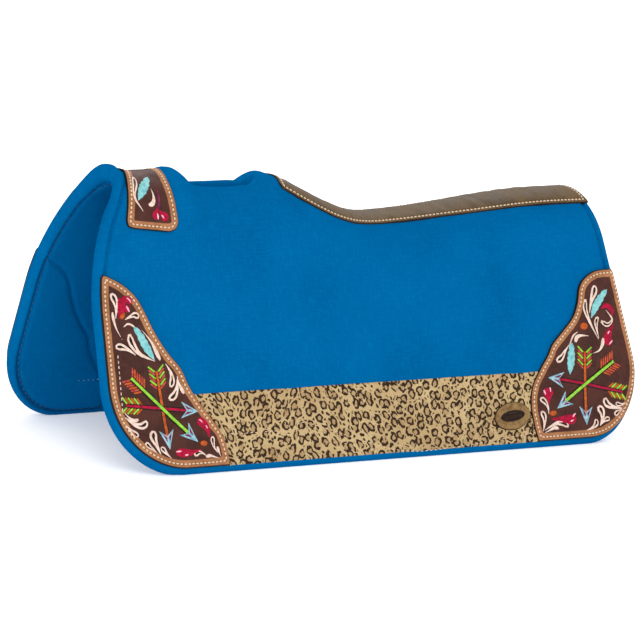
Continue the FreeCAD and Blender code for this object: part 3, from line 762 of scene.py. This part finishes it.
def make_felt():
    """Both halves of the pad, each one closed body of felt from the ridge to its foot."""
    flat, faces, rim_away, notch_away = felt_plan()
    top = felt_relief(flat, rim_away, notch_away)
    bottom = lining_relief(flat, rim_away, notch_away)
    away = np.minimum(rim_away, notch_away)
    for side_name, side in SIDES.items():
        piece = Piece("felt_" + side_name)
        piece.shell(flat, faces, away, top, bottom, side)
        item = piece.build(FELT)
        ridge = np.abs(np.vstack(piece.plan)[:, 1]) < 1e-6
        ends = np.zeros(len(item.data.edges) * 2, np.int32)
        item.data.edges.foreach_get("vertices", ends)
        sharp = item.data.attributes.new("sharp_edge", "BOOLEAN", "EDGE")
        sharp.data.foreach_set("value", ridge[ends.reshape(-1, 2)].all(1))
        bend_at_fold(item)
        nodes = [layer + side_name for layer in ("felt_top_", "felt_lining_", "felt_core_")]
        if side_name == "near":
            nodes += ["felt_top_spine", "felt_lining_spine", "felt_core_spine"]
        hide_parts(*nodes)


# ---------------------------------------------------------------- leather

WEAR_THICK, PATCH_THICK, SPINE_THICK, STRIP_THICK = 4.0, 3.5, 3.0, 2.0
SUNK = 0.6             # the beaten centre lies this far under the border


def leather_seat(flat):
    """How far the felt falls away under a leather near the pad's rim."""
    return rounded_edge(to_line(flat, FELT_RIM), EDGE_REACH, EDGE_DROP)


def tooled_piece(name, loop, thick, seat_of, wave=0.0, side=1.0):
    """A tooled leather: bevelled rim, stitch crease, and a centre beaten down inside its border."""
    flat, faces, away = fill(loop, 4.0, (0.4, 1.0, 2.2, 3.8, 5.0, 6.2, 8.0, 10.2, 11.2, 12.2))
    seat = seat_of(flat)
    top = seat + thick + rounded_edge(away, 1.3, 1.4) - 0.75 * bell(away, SEAM_IN, 1.3)
    top -= SUNK * smooth((away - BORDER + 0.6) / 1.2)
    top += wave * ripple(flat[:, 0], flat[:, 1], 24.0, 11)
    piece = Piece(name)
    piece.shell(flat, faces, away, top, seat - 0.4, side)
    return piece.build(TOOLED)


def make_wear_leathers():
    for side_name, side in SIDES.items():
        for end_name, loop in (("front", FRONT_LOOP), ("rear", REAR_LOOP)):
            node = "%s_wear_leather_%s" % (end_name, side_name)
            item = tooled_piece(end_name + "_wear_" + side_name, loop, WEAR_THICK, leather_seat, 0.12, side)
            belongs(item, side_name + "_flap", "tooled_leather", node)


def patch_half():
    """The wither patch's outline below the ridge on one side, from its front to its rear."""
    front = flowing([(-323.0, 0.0), (-334.0, 28.0), (-342.0, 55.0), (-347.5, 82.0)])
    toe = flowing([(-347.5, 82.0), (-345.5, 89.0), (-338.0, 92.0)], 5)
    heel = flowing([(-288.0, 98.0), (-278.5, 94.5), (-274.0, 86.0)], 5)
    rear = flowing([(-274.0, 86.0), (-276.0, 46.0), (-271.0, 0.0)])
    return np.vstack([front, toe[1:], heel, rear[1:]])


def make_wither_patch():
    half = patch_half()
    loop = np.vstack([half, (half * (1.0, -1.0))[::-1][1:-1]])
    loop = even(closed(loop), 3.0)[:-1]
    item = tooled_piece("wither_patch_leather", loop, PATCH_THICK, lambda flat: drawn_in(*flat.T))
    belongs(item, "spine", "tooled_leather", "wither_patch")
    return loop


def spine_half():
    """The spine leather's lower edge on one side, from front to rear."""
    rear = float(rear_x(LOIN_HEIGHT, EDGE_GAP, 0.0))
    return flowing([(-110.0, 38.0), (-82.0, 45.0), (-39.0, 48.5), (-4.0, 45.0), (40.0, 36.5), (118.0, 35.0),
                    (200.0, 39.5), (292.0, 42.5), (rear - 7.0, 43.0)])


def make_spine_leather():
    half = spine_half()
    rear = np.array([(rear_x(float(skin(360.0, s)[2]), EDGE_GAP, 0.0), s) for s in (43.0, 30.0, 15.0, 0.0)])
    front = np.array([(-103.0, 0.0), (-107.0, 16.0), (-111.0, 30.0)])
    side = np.vstack([front, half, rear])
    loop = np.vstack([side[:-1], rear[-1:], (side[1:-1] * (1.0, -1.0))[::-1]])
    loop = even(closed(loop), 4.0)[:-1]
    flat, faces, away = fill(loop, 4.5, (0.5, 1.3, 2.6, 4.0, 5.2, 6.6, 9.0))
    x, s = flat.T
    pucker = np.sin(x * 2.0 * math.pi / 9.5 + 2.0 * ripple(x, s, 60.0, 21)) * bell(away, SEAM_IN, 6.0)
    wrinkle = ripple(x, s * 0.35, 17.0, 23) * smooth((away - 5.0) / 9.0)
    top = SPINE_THICK + rounded_edge(away, 1.6, 1.6) - 0.9 * bell(away, SEAM_IN, 1.6)
    top += 0.35 * pucker + 0.4 * wrinkle
    piece = Piece("spine_cover")
    piece.shell(flat, faces, away, top, np.full(len(flat), -1.0))
    item = piece.build(OILED)
    belongs(item, "spine", "plain_leather", "spine_leather")
    return loop


# ---------------------------------------------------------------- hide strip and badge

STRIP_FRONT, STRIP_REAR = (corner.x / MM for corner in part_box("hair_strip_off"))


def make_strips():
    low, high = float(depth_of(0.0, STRIP_TOP)), float(depth_of(0.0, TRIM_INSET))
    for side_name, side in SIDES.items():
        lower = on_felt(even([(STRIP_FRONT, TRIM_INSET), (STRIP_REAR, TRIM_INSET)], 4.0))
        upper = on_felt(even([(STRIP_REAR, STRIP_TOP), (STRIP_FRONT, STRIP_TOP)], 4.0))
        sides = [even([a, b], 4.0)[1:-1] for a, b in ((lower[-1], upper[0]), (upper[-1], lower[0]))]
        loop = np.vstack([lower, sides[0], upper, sides[1]])
        flat, faces, away = fill(loop, 4.5, (0.5, 1.2, 2.5, 4.5))
        top = STRIP_THICK + rounded_edge(away, 2.4, 1.9) + 0.18 * ripple(flat[:, 0], flat[:, 1], 13.0, 31)
        piece = Piece("leopard_strip_" + side_name)
        piece.shell(flat, faces, away, top, np.full(len(flat), -0.3), side)
        item = piece.build(LEOPARD)
        belongs(item, side_name + "_flap", "hide", "hair_strip_" + side_name)


# ---------------------------------------------------------------- stitches

def stitch_tree():
    """Stitches laid end to end with gaps along every line of the mesh it is given."""
    tree = bpy.data.node_groups.new("stitch_row", "GeometryNodeTree")
    face = tree.interface
    face.new_socket("Geometry", in_out="INPUT", socket_type="NodeSocketGeometry")
    for name in ("Pitch", "Length", "Width"):
        face.new_socket(name, in_out="INPUT", socket_type="NodeSocketFloat")
    face.new_socket("Thread", in_out="INPUT", socket_type="NodeSocketMaterial")
    face.new_socket("Geometry", in_out="OUTPUT", socket_type="NodeSocketGeometry")
    node, link = tree.nodes.new, tree.links.new
    given, made = node("NodeGroupInput"), node("NodeGroupOutput")
    line, spaced = node("GeometryNodeMeshToCurve"), node("GeometryNodeResampleCurve")
    spaced.mode = "LENGTH"
    tangent, turn = node("GeometryNodeInputTangent"), node("FunctionNodeAlignRotationToVector")
    bead, size = node("GeometryNodeMeshUVSphere"), node("ShaderNodeCombineXYZ")
    bead.inputs["Segments"].default_value = 8
    bead.inputs["Rings"].default_value = 6
    bead.inputs["Radius"].default_value = 0.5
    place, real = node("GeometryNodeInstanceOnPoints"), node("GeometryNodeRealizeInstances")
    dye, even_shade = node("GeometryNodeSetMaterial"), node("GeometryNodeSetShadeSmooth")
    link(given.outputs["Geometry"], line.inputs[0])
    link(line.outputs[0], spaced.inputs["Curve"])
    link(given.outputs["Pitch"], spaced.inputs["Length"])
    link(spaced.outputs[0], place.inputs["Points"])
    link(bead.outputs["Mesh"], place.inputs["Instance"])
    turn.axis = "Z"
    link(tangent.outputs[0], turn.inputs["Vector"])
    link(turn.outputs[0], place.inputs["Rotation"])
    link(given.outputs["Width"], size.inputs[0])
    link(given.outputs["Width"], size.inputs[1])
    link(given.outputs["Length"], size.inputs[2])
    link(size.outputs[0], place.inputs["Scale"])
    link(place.outputs[0], real.inputs[0])
    link(real.outputs[0], even_shade.inputs[0])
    link(even_shade.outputs[0], dye.inputs[0])
    link(given.outputs["Thread"], dye.inputs["Material"])
    link(dye.outputs[0], made.inputs[0])
    return tree


STITCHES = stitch_tree()


def stitched(name, lines, pitch, length, width, material):
    """One mesh of stitches along lines of points in space."""
    points, edges = [], []
    for line in lines:
        start = len(points)
        points += (np.asarray(line) * MM).tolist()
        edges += [(start + i, start + i + 1) for i in range(len(line) - 1)]
    mesh = bpy.data.meshes.new(name + "_line")
    mesh.from_pydata(points, edges, [])
    guide = bpy.data.objects.new(name + "_line", mesh)
    bpy.context.scene.collection.objects.link(guide)
    modifier = guide.modifiers.new("stitches", "NODES")
    modifier.node_group = STITCHES
    sockets = {s.name: s.identifier for s in STITCHES.interface.items_tree if s.in_out == "INPUT"}
    for key, value in (("Pitch", pitch * MM), ("Length", length * MM), ("Width", width * MM)):
        modifier[sockets[key]] = value
    modifier[sockets["Thread"]] = material
    ready = bpy.context.evaluated_depsgraph_get()
    made = bpy.data.meshes.new_from_object(guide.evaluated_get(ready))
    bpy.data.objects.remove(guide)
    item = bpy.data.objects.new(name, made)
    bpy.context.scene.collection.objects.link(item)
    return item


def row_on(loop, lift, side=1.0):
    """A line of (x, s) points raised to a lift and put on a side."""
    line = even(loop, 2.0)
    return skin(line[:, 0], line[:, 1] * side, lift)


def make_stitches(patch_loop, spine_loop):
    seams = [float(depth_of(0.0, z)) for z in (TRIM_INSET + SEAM_IN, STRIP_TOP - SEAM_IN)]
    for side_name, side in SIDES.items():
        for end_name, loop in (("front", FRONT_LOOP), ("rear", REAR_LOOP)):
            flat = even(closed(inset_loop(loop, SEAM_IN)), 2.0)
            row = skin(flat[:, 0], flat[:, 1] * side, leather_seat(flat) + WEAR_THICK - 0.35)
            name = "%s_wear_stitches_%s" % (end_name, side_name)
            item = stitched(name, [row], 5.6, 4.2, 2.3, CREAM_THREAD)
            node = "%s_wear_stitching_%s" % (end_name, side_name)
            belongs(item, side_name + "_flap", "cream_thread", node)
        row = row_on([(-228.0, seams[0]), (224.0, seams[0])], STRIP_THICK + 0.2, side)
        inner = [row_on([(STRIP_FRONT, s), (STRIP_REAR, s)], 0.6 - PAD_THICK, side) for s in seams]
        item = stitched("strip_stitches_" + side_name, [row] + inner, 7.0, 4.4, 1.1, CREAM_THREAD)
        belongs(item, side_name + "_flap", "cream_thread", "strip_stitching_" + side_name)
        seam = pad_rim(SEAM, SEAM + FOOT_RISE)
        rows = [row_on(seam, -PAD_THICK + 2.4, side)]
        item = stitched("edge_stitches_" + side_name, rows, 9.0, 6.5, 1.3, BLUE_THREAD)
        bend_at_fold(item)
        nodes = ["edge_stitching_spine"] if side_name == "near" else []
        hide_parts("edge_stitching_" + side_name, *nodes)
    for name, node, loop, thick in (
            ("wither_patch_stitches", "wither_patch_stitching", patch_loop, PATCH_THICK),
            ("spine_stitches", "spine_leather_stitching", spine_loop, SPINE_THICK)):
        flat = even(closed(inset_loop(loop, SEAM_IN)), 2.0)
        row = skin(flat[:, 0], flat[:, 1], drawn_in(*flat.T) + thick - 0.35)
        item = stitched(name, [row], 5.6, 4.2, 2.3, CREAM_THREAD)
        belongs(item, "spine", "cream_thread", node)


# ---------------------------------------------------------------- badge

BADGE_X, BADGE_Z = 193.0, 41.0


def oval(centre, long, wide, count=48):
    """An ellipse as a closed outline."""
    angle = np.linspace(0.0, 2.0 * math.pi, count, endpoint=False)
    return np.stack([centre[0] + long / 2.0 * np.cos(angle), centre[1] + wide / 2.0 * np.sin(angle)], 1)


def make_badges():
    centre = (BADGE_X, float(depth_of(BADGE_X, BADGE_Z)))
    for side_name, side in SIDES.items():
        flat, faces, away = fill(oval(centre, 56.0, 36.0), 3.0, (0.5, 1.2, 2.4, 4.0, 6.0, 8.0))
        top = STRIP_THICK + 2.6 + rounded_edge(away, 2.2, 2.0) + 0.5 * bell(away, 5.0, 2.4)
        top -= 0.8 * smooth((away - 8.0) / 1.5)
        piece = Piece("badge_oval_" + side_name)
        piece.shell(flat, faces, away, top, np.full(len(flat), STRIP_THICK - 0.6), side)
        item = piece.build(EMBOSSED)
        belongs(item, side_name + "_flap", "badge_leather", "badge_" + side_name)
        flat, faces, away = fill(oval(centre, 38.0, 14.0), 2.0, (0.4, 1.0, 2.0, 3.0))
        plate = STRIP_THICK + 2.4
        top = plate + 0.6 * (1.0 - np.exp(-away / 1.2)) - 0.5 * smooth((away - 2.4) / 0.8)
        piece = Piece("badge_centre_" + side_name)
        piece.shell(flat, faces, away, top, np.full(len(flat), STRIP_THICK + 1.2), side)
        bars = [stroke([(centre[0] - 7.0, centre[1] - 3.6), (centre[0], centre[1] - 3.9),
                        (centre[0] + 7.0, centre[1] - 3.6)], [1.6, 2.2, 1.6])]
        bars += [oval((centre[0] + across, centre[1] + 1.2), 1.9, 5.6, 16)
                 for across in np.arange(-12.0, 12.1, 3.0)]
        for bar in bars:
            flat, faces, away = fill(bar, 1.2, (0.4,))
            piece.shell(flat, faces, away, plate + 0.4 + 0.6 * (1.0 - np.exp(-away / 0.5)),
                        np.full(len(flat), plate - 0.4), side, 1)
        item = piece.build(PAINTS["umber"], EMBOSSED)
        belongs(item, side_name + "_flap", "badge_plate", "badge_emblem_" + side_name)


# ---------------------------------------------------------------- painted tooling

def stroke(path, widths):
    """Outline of a brush stroke along a flowing path, its width given at even shares of the way."""
    line = even(flowing(path, 10), 1.0)
    share = np.linspace(0.0, 1.0, len(line))
    half = np.interp(share, np.linspace(0.0, 1.0, len(widths)), widths) / 2.0
    run = np.gradient(line, axis=0)
    out = np.stack([-run[:, 1], run[:, 0]], 1) / np.maximum(np.hypot(*run.T), 1e-9)[:, None]
    return np.vstack([line + out * half[:, None], (line - out * half[:, None])[::-1]])


SLIT_FROM = 6.0        # a narrower scroll has no slit


def scroll(path, width):
    """A cream teardrop scroll, round at its first point and thin at its last, with a cut slit."""
    line = flowing(path, 10)
    body = stroke(line, [width * w for w in (0.45, 0.95, 1.0, 0.86, 0.66, 0.5, 0.36, 0.24, 0.12)])
    slit_line = line[int(len(line) * 0.1):int(len(line) * 0.58)]
    slits = []
    if width > SLIT_FROM:
        slits.append(stroke(slit_line, [width * w for w in (0.1, 0.34, 0.3, 0.18, 0.08, 0.04)]))
    shadow = stroke(line, [width * w + 1.6 for w in (0.5, 1.0, 1.0, 0.86, 0.6, 0.4, 0.2)])
    return [("umber", shadow, [], -3), ("cream", body, slits, 0)]


def feather(path, width):
    """A turquoise feather with notched barbs and a pale quill."""
    shape = [0.05, 0.5, 0.72, 0.6, 0.95, 0.8, 1.0, 0.82, 0.95, 0.7, 0.62, 0.3, 0.06]
    return [("turquoise", stroke(path, [width * w for w in shape]), [], 0),
            ("sky", stroke(path, [0.5, 1.0, 1.0, 0.6]), [], 3)]


def bud(path, width, gleams):
    """A crimson bud, round at its first point, with painted gleams."""
    parts = [("crimson", stroke(path, [width * w for w in (0.5, 1.0, 1.0, 0.8, 0.55, 0.34, 0.16)]), [], 0)]
    return parts + [("pink", stroke(gleam, [0.8, 2.6, 2.4, 0.8]), [], 3) for gleam in gleams]


def berry(centre, long, wide):
    """A small orange berry."""
    return [("orange", oval(centre, long, wide, 20), [], 1)]


def arrow(tail, tip, shaft, barbs, level, width=4.6, wing=11.0):
    """A shaft with slanting barbs on both sides of its tail and a barbed point."""
    tail, tip = np.array(tail, float), np.array(tip, float)
    run = (tip - tail) / np.hypot(*(tip - tail))
    out = np.array([-run[1], run[0]])
    neck = tip - run * 18.0
    line = [tail, (tail + neck) / 2.0, neck]
    # The wider umber stroke under the shaft is a dark outline with painted shadow along the shaft's edges.
    parts = [("umber", stroke(line, [width + 2.2] * 3), [], level - 2),
             (shaft, stroke(line, [width * 0.9, width, width]), [], level)]
    for i in range(6):
        root = tail + run * (1.0 + 4.2 * i)
        for way in (-1.0, 1.0):
            end = root - run * 7.5 + out * way * wing
            start = root + out * way * width * 0.55
            barb = stroke([start, (start + end) / 2.0, end], [2.2, 2.6, 1.8])
            parts.append((barbs[i % len(barbs)], barb, [], 0))

    def corner(back, across):
        return tip - run * back + out * across

    head = [tip, corner(25.0, 10.5), corner(17.0, 0.0), corner(25.0, -10.5)]
    parts.append(("sky", even(closed(np.array(head)), 1.2)[:-1], [], level + 1))
    for way in (-1.0, 1.0):
        core = [corner(6.0, way * 0.8), corner(22.6, way * 8.0), corner(16.2, way * 0.8)]
        parts.append(("plum", even(closed(np.array(core)[::int(way)]), 1.0)[:-1], [], level + 3))
    return parts


def dashes(start, end, count):
    """Short pale tool marks in a line."""
    marks = []
    start, end = np.array(start, float), np.array(end, float)
    for i in range(count):
        at = start + (end - start) * (i + 0.2) / count
        to = start + (end - start) * (i + 0.75) / count
        marks.append(("cream", stroke([at, (at + to) / 2.0, to], [1.1, 1.4, 1.1]), [], 0))
    return marks


def front_design():
    """Painted figures of the front wear leather, in (x, s)."""
    work = []
    work += scroll([(-380, 170), (-376, 179), (-375, 189), (-377, 201)], 9.5)
    work += scroll([(-381, 193), (-380, 204), (-377, 215), (-371, 227)], 4.0)
    work += bud([(-363, 177), (-368, 184), (-371, 193), (-371, 202)], 12.0, [])
    work += bud([(-353, 184), (-358, 178), (-364, 179), (-367, 188)], 9.0,
                [[(-360, 176), (-356, 179), (-354, 183)]])
    work += bud([(-357, 193), (-362, 189), (-366, 192), (-368, 198)], 9.0,
                [[(-361, 186), (-359, 190), (-357, 194)]])
    work += [("orange", stroke([(-364, 195), (-367, 198), (-370, 202)], [3.0, 5.5, 4.0]), [], 4)]
    work += scroll([(-344, 201), (-350, 198), (-357, 200), (-364, 203)], 8.5)
    work += [("cream", stroke([(-367, 212), (-361, 208.5), (-354, 211), (-349, 217)], [0.9, 2.6, 2.2,
                0.9]), [], 0)]
    work += feather([(-353, 212), (-346, 222), (-338, 238), (-328, 255)], 11.5)
    work += scroll([(-360, 221), (-358, 232), (-348, 246), (-328, 256)], 9.5)
    work += scroll([(-320, 255), (-324, 246), (-331, 231), (-342, 217)], 5.5)
    work += scroll([(-381, 236), (-374, 236), (-364, 240), (-354, 247)], 9.0)
    work += dashes((-379, 245), (-380, 316), 11)
    work += arrow((-327, 268), (-320, 366), "orange", ("lime", "coral"), 0)
    work += arrow((-374, 308), (-273, 321), "crimson", ("lime", "orange"), 2, 4.0, 10.0)
    work += arrow((-364, 275), (-279, 359), "lime", ("coral", "orange"), 4, 4.6, 12.0)
    work += scroll([(-309, 289), (-306, 281), (-307, 271), (-313, 260)], 8.0)
    work += scroll([(-313, 304), (-305, 299), (-300, 289), (-298, 276)], 9.5)
    work += scroll([(-291, 298), (-294, 292), (-297, 284), (-299, 275)], 5.0)
    work += bud([(-276, 332), (-268, 336), (-263, 344), (-262, 354)], 12.0,
                [[(-274, 331), (-271, 333), (-269, 336)], [(-266, 338), (-264, 341), (-263, 344)]])
    work += bud([(-312, 370), (-303, 371), (-291, 371), (-276, 369)], 11.0,
                [[(-312, 369), (-308, 369), (-304, 369)], [(-301, 374), (-298, 374), (-295, 373)]])
    work += berry((-271, 361), 10.0, 7.0)
    work += scroll([(-347, 329), (-354, 334), (-365, 332), (-378, 322)], 9.5)
    work += scroll([(-359, 326), (-365, 327), (-372, 323), (-379, 315)], 5.0)
    work += scroll([(-362, 347), (-367, 343), (-372, 338), (-378, 331)], 8.0)
    work += scroll([(-340, 341), (-341, 350), (-338, 360), (-334, 371)], 11.0)
    work += scroll([(-353, 355), (-349, 360), (-344, 364), (-338, 370)], 7.0)
    work += scroll([(-332, 362), (-329, 366), (-326, 370), (-320, 377)], 7.0)
    work += scroll([(-287, 375), (-281, 372), (-275, 373), (-270, 377)], 7.5)
    work += scroll([(-271, 378), (-265, 377), (-258, 379), (-251, 381)], 4.6)
    work += scroll([(-257, 353), (-258, 360), (-257, 367), (-253, 374)], 6.5)
    work += scroll([(-252, 366), (-252, 370), (-251, 374), (-249, 379)], 4.4)
    return work


def rear_design():
    """Painted figures of the rear wear leather, in (x, s)."""
    work = []
    work += scroll([(345, 157), (343, 165), (337, 177), (332, 192)], 10.0)
    work += feather([(364, 163), (355, 171), (344, 183), (334, 199)], 11.5)
    work += scroll([(328, 174), (326, 187), (331, 204), (342, 227)], 7.0)
    work += [("crimson", stroke([(352, 187), (360, 184), (368, 190), (368, 198)], [2.0, 7.0, 7.0, 2.0]),
                [], 0)]
    work += scroll([(349, 204), (359, 209), (367, 202), (359, 190)], 6.5)
    work += scroll([(345, 198), (341, 205), (341, 215), (343, 226)], 6.5)
    work += berry((321, 209), 12.0, 9.0)
    work += bud([(361, 235), (357, 228), (360, 220), (368, 209)], 13.0,
                [[(358, 235), (361, 232), (364, 230)], [(357, 222), (359, 219), (362, 217)]])
    work += scroll([(350, 226), (347, 235), (341, 242), (331, 245)], 5.5)
    work += scroll([(305, 229), (308, 223), (315, 221), (327, 222)], 6.0)
    work += [("cream", stroke([(310, 216), (303, 220), (298, 227), (294, 234)], [1.0, 2.4, 2.0, 1.0]), [],
                0)]
    work += feather([(299, 229), (297, 242), (294, 256), (291, 270)], 12.5)
    work += scroll([(272, 251), (280, 247), (287, 239), (294, 232)], 9.0)
    work += arrow((318, 242), (307, 338), "orange", ("lime", "coral"), 0)
    work += arrow((371, 298), (256, 270), "crimson", ("lime", "orange"), 2, 4.0, 10.0)
    work += arrow((362, 257), (264, 312), "lime", ("coral", "orange"), 4, 4.6, 12.0)
    work += bud([(247, 286), (252, 290), (253, 297), (252, 304)], 12.0,
                [[(247, 285), (248, 289), (249, 292)]])
    work += bud([(260, 286), (256, 290), (254, 296), (253, 302)], 11.0,
                [[(257, 283), (257, 287), (257, 290)]])
    work += bud([(291, 324), (284, 328), (272, 327), (254, 324)], 13.0,
                [[(286, 326), (289, 323), (292, 321)], [(281, 331), (285, 330), (288, 329)]])
    work += berry((257, 317), 11.0, 7.0)
    work += scroll([(240, 295), (246, 300), (250, 308), (250, 317)], 8.0)
    work += scroll([(239, 312), (242, 319), (241, 328), (237, 338)], 8.5)
    work += scroll([(278, 337), (270, 332), (258, 331), (240, 337)], 8.0)
    work += scroll([(262, 338), (256, 336), (248, 338), (238, 341)], 5.0)
    work += scroll([(342, 304), (344, 312), (354, 317), (370, 320)], 10.0)
    work += scroll([(358, 312), (363, 314), (369, 314), (376, 312)], 6.5)
    work += scroll([(330, 314), (334, 322), (333, 331), (328, 340)], 11.0)
    work += scroll([(354, 328), (359, 324), (364, 322), (370, 320)], 7.0)
    work += scroll([(345, 332), (340, 332), (334, 335), (328, 340)], 7.0)
    work += scroll([(323, 331), (322, 337), (315, 342), (305, 345)], 7.5)
    return work


def patch_design():
    """Painted figures of the wither patch on one side, in (x, s)."""
    work = []
    work += scroll([(-320, 22), (-325, 35), (-332, 54), (-323, 71)], 8.0)
    work += feather([(-300, 22), (-308, 33), (-318, 45), (-328, 58)], 12.5)
    work += scroll([(-314, 64), (-308, 62), (-305, 54), (-305, 43)], 6.0)
    work += [("plum", stroke([(-297, 44), (-298, 56), (-301, 70)], [1.0, 2.2, 2.4]), [], 0)]
    work += bud([(-303, 81), (-306, 76), (-304, 71), (-302, 67)], 9.5,
                [[(-304, 74), (-303, 78), (-303, 82)]])
    work += bud([(-291, 84), (-294, 78), (-298, 74), (-301, 70)], 11.0,
                [[(-298, 76), (-296, 79), (-294, 82)]])
    return work


def painted(name, designs, thick, body):
    """All the painted figures of one leather as a mesh of low domes on its sunk centre."""
    piece = Piece(name)
    for design, side in designs:
        for colour, loop, holes, level in design:
            flat, faces, away = fill(loop, 2.6, (0.45, 1.1), holes=holes)
            if not len(faces):
                continue
            seat = thick - SUNK + (drawn_in(*flat.T) if body == "spine" else 0.0)
            top = seat + 0.16 * level + 0.12 + 0.75 * (1.0 - np.exp(-away / 0.7))
            piece.shell(flat, faces, away, top, seat - 0.5, side, PAINT_ORDER.index(colour))
    item = piece.build(*[PAINTS[colour] for colour in PAINT_ORDER])
    belongs(item, body, "tooled_leather")


def make_paintwork():
    front, rear, patch = front_design(), rear_design(), patch_design()
    for side_name, side in SIDES.items():
        painted("front_paintwork_" + side_name, [(front, side)], WEAR_THICK, side_name + "_flap")
        painted("rear_paintwork_" + side_name, [(rear, side)], WEAR_THICK, side_name + "_flap")
    painted("wither_paintwork", [(patch, -1.0), (patch, 1.0)], PATCH_THICK, "spine")


# ---------------------------------------------------------------- studio

LAMPS = (("key", (-1.6, -2.4, 2.6), 1.8, 42.0), ("rim", (1.8, 2.2, 2.4), 1.6, 26.0))


def make_studio():
    """Pale floor and soft light."""
    scene = bpy.context.scene
    scene.view_settings.view_transform = "Standard"
    world = bpy.data.worlds.new("studio")
    scene.world = world
    world.use_nodes = True
    world.node_tree.nodes["Background"].inputs["Color"].default_value = (1.0, 1.0, 1.0, 1.0)
    world.node_tree.nodes["Background"].inputs["Strength"].default_value = 0.95
    half = 6.0
    mesh = bpy.data.meshes.new("floor")
    corners = [(-half, -half, 0), (half, -half, 0), (half, half, 0), (-half, half, 0)]
    mesh.from_pydata(corners, [], [(0, 1, 2, 3)])
    floor = bpy.data.objects.new("floor", mesh)
    scene.collection.objects.link(floor)
    paper = Finish("studio_paper", 0.9, specular=0.1)
    speckle = paper.noise(3.0)
    paper.colour(paper.blend(speckle, (0.93, 0.93, 0.93, 1.0), (0.96, 0.96, 0.96, 1.0)))
    paper.shader.inputs["Emission Color"].default_value = (1.0, 1.0, 1.0, 1.0)
    paper.shader.inputs["Emission Strength"].default_value = 0.35
    mesh.materials.append(paper.material)
    for name, place, size, power in LAMPS:
        lamp = bpy.data.lights.new(name, "AREA")
        lamp.size = size
        lamp.energy = power
        item = bpy.data.objects.new(name, lamp)
        item.location = place
        item.rotation_mode = "QUATERNION"
        item.rotation_quaternion = (Vector((0.0, 0.0, 0.15)) - Vector(place)).to_track_quat("-Z", "Y")
        scene.collection.objects.link(item)


CAMERA_TARGET = Vector((-0.015, 0.0, 0.14516))
CAMERA_AWAY, CAMERA_AZIMUTH, CAMERA_RISE, CAMERA_ROLL = 6.0099, -33.555, 12.439, 4.824


def make_camera():
    azimuth, rise, roll = (math.radians(v) for v in (CAMERA_AZIMUTH, CAMERA_RISE, CAMERA_ROLL))
    back = Vector((math.sin(azimuth) * math.cos(rise), -math.cos(azimuth) * math.cos(rise), math.sin(rise)))
    right = Vector((math.cos(azimuth), math.sin(azimuth), 0.0))
    up = back.cross(right)
    across = right * math.cos(roll) + up * math.sin(roll)
    upright = -right * math.sin(roll) + up * math.cos(roll)
    lens = bpy.data.cameras.new("camera")
    lens.lens = 265.3
    lens.sensor_width = 36.0
    item = bpy.data.objects.new("camera", lens)
    turn = Matrix((across, upright, back)).transposed().to_4x4()
    item.matrix_world = Matrix.Translation(CAMERA_TARGET + back * CAMERA_AWAY) @ turn
    bpy.context.scene.collection.objects.link(item)
    bpy.context.scene.camera = item


make_studio()
make_camera()
make_felt()
make_wear_leathers()
patch_loop = make_wither_patch()
spine_loop = make_spine_leather()
make_strips()
make_stitches(patch_loop, spine_loop)
make_badges()
make_paintwork()
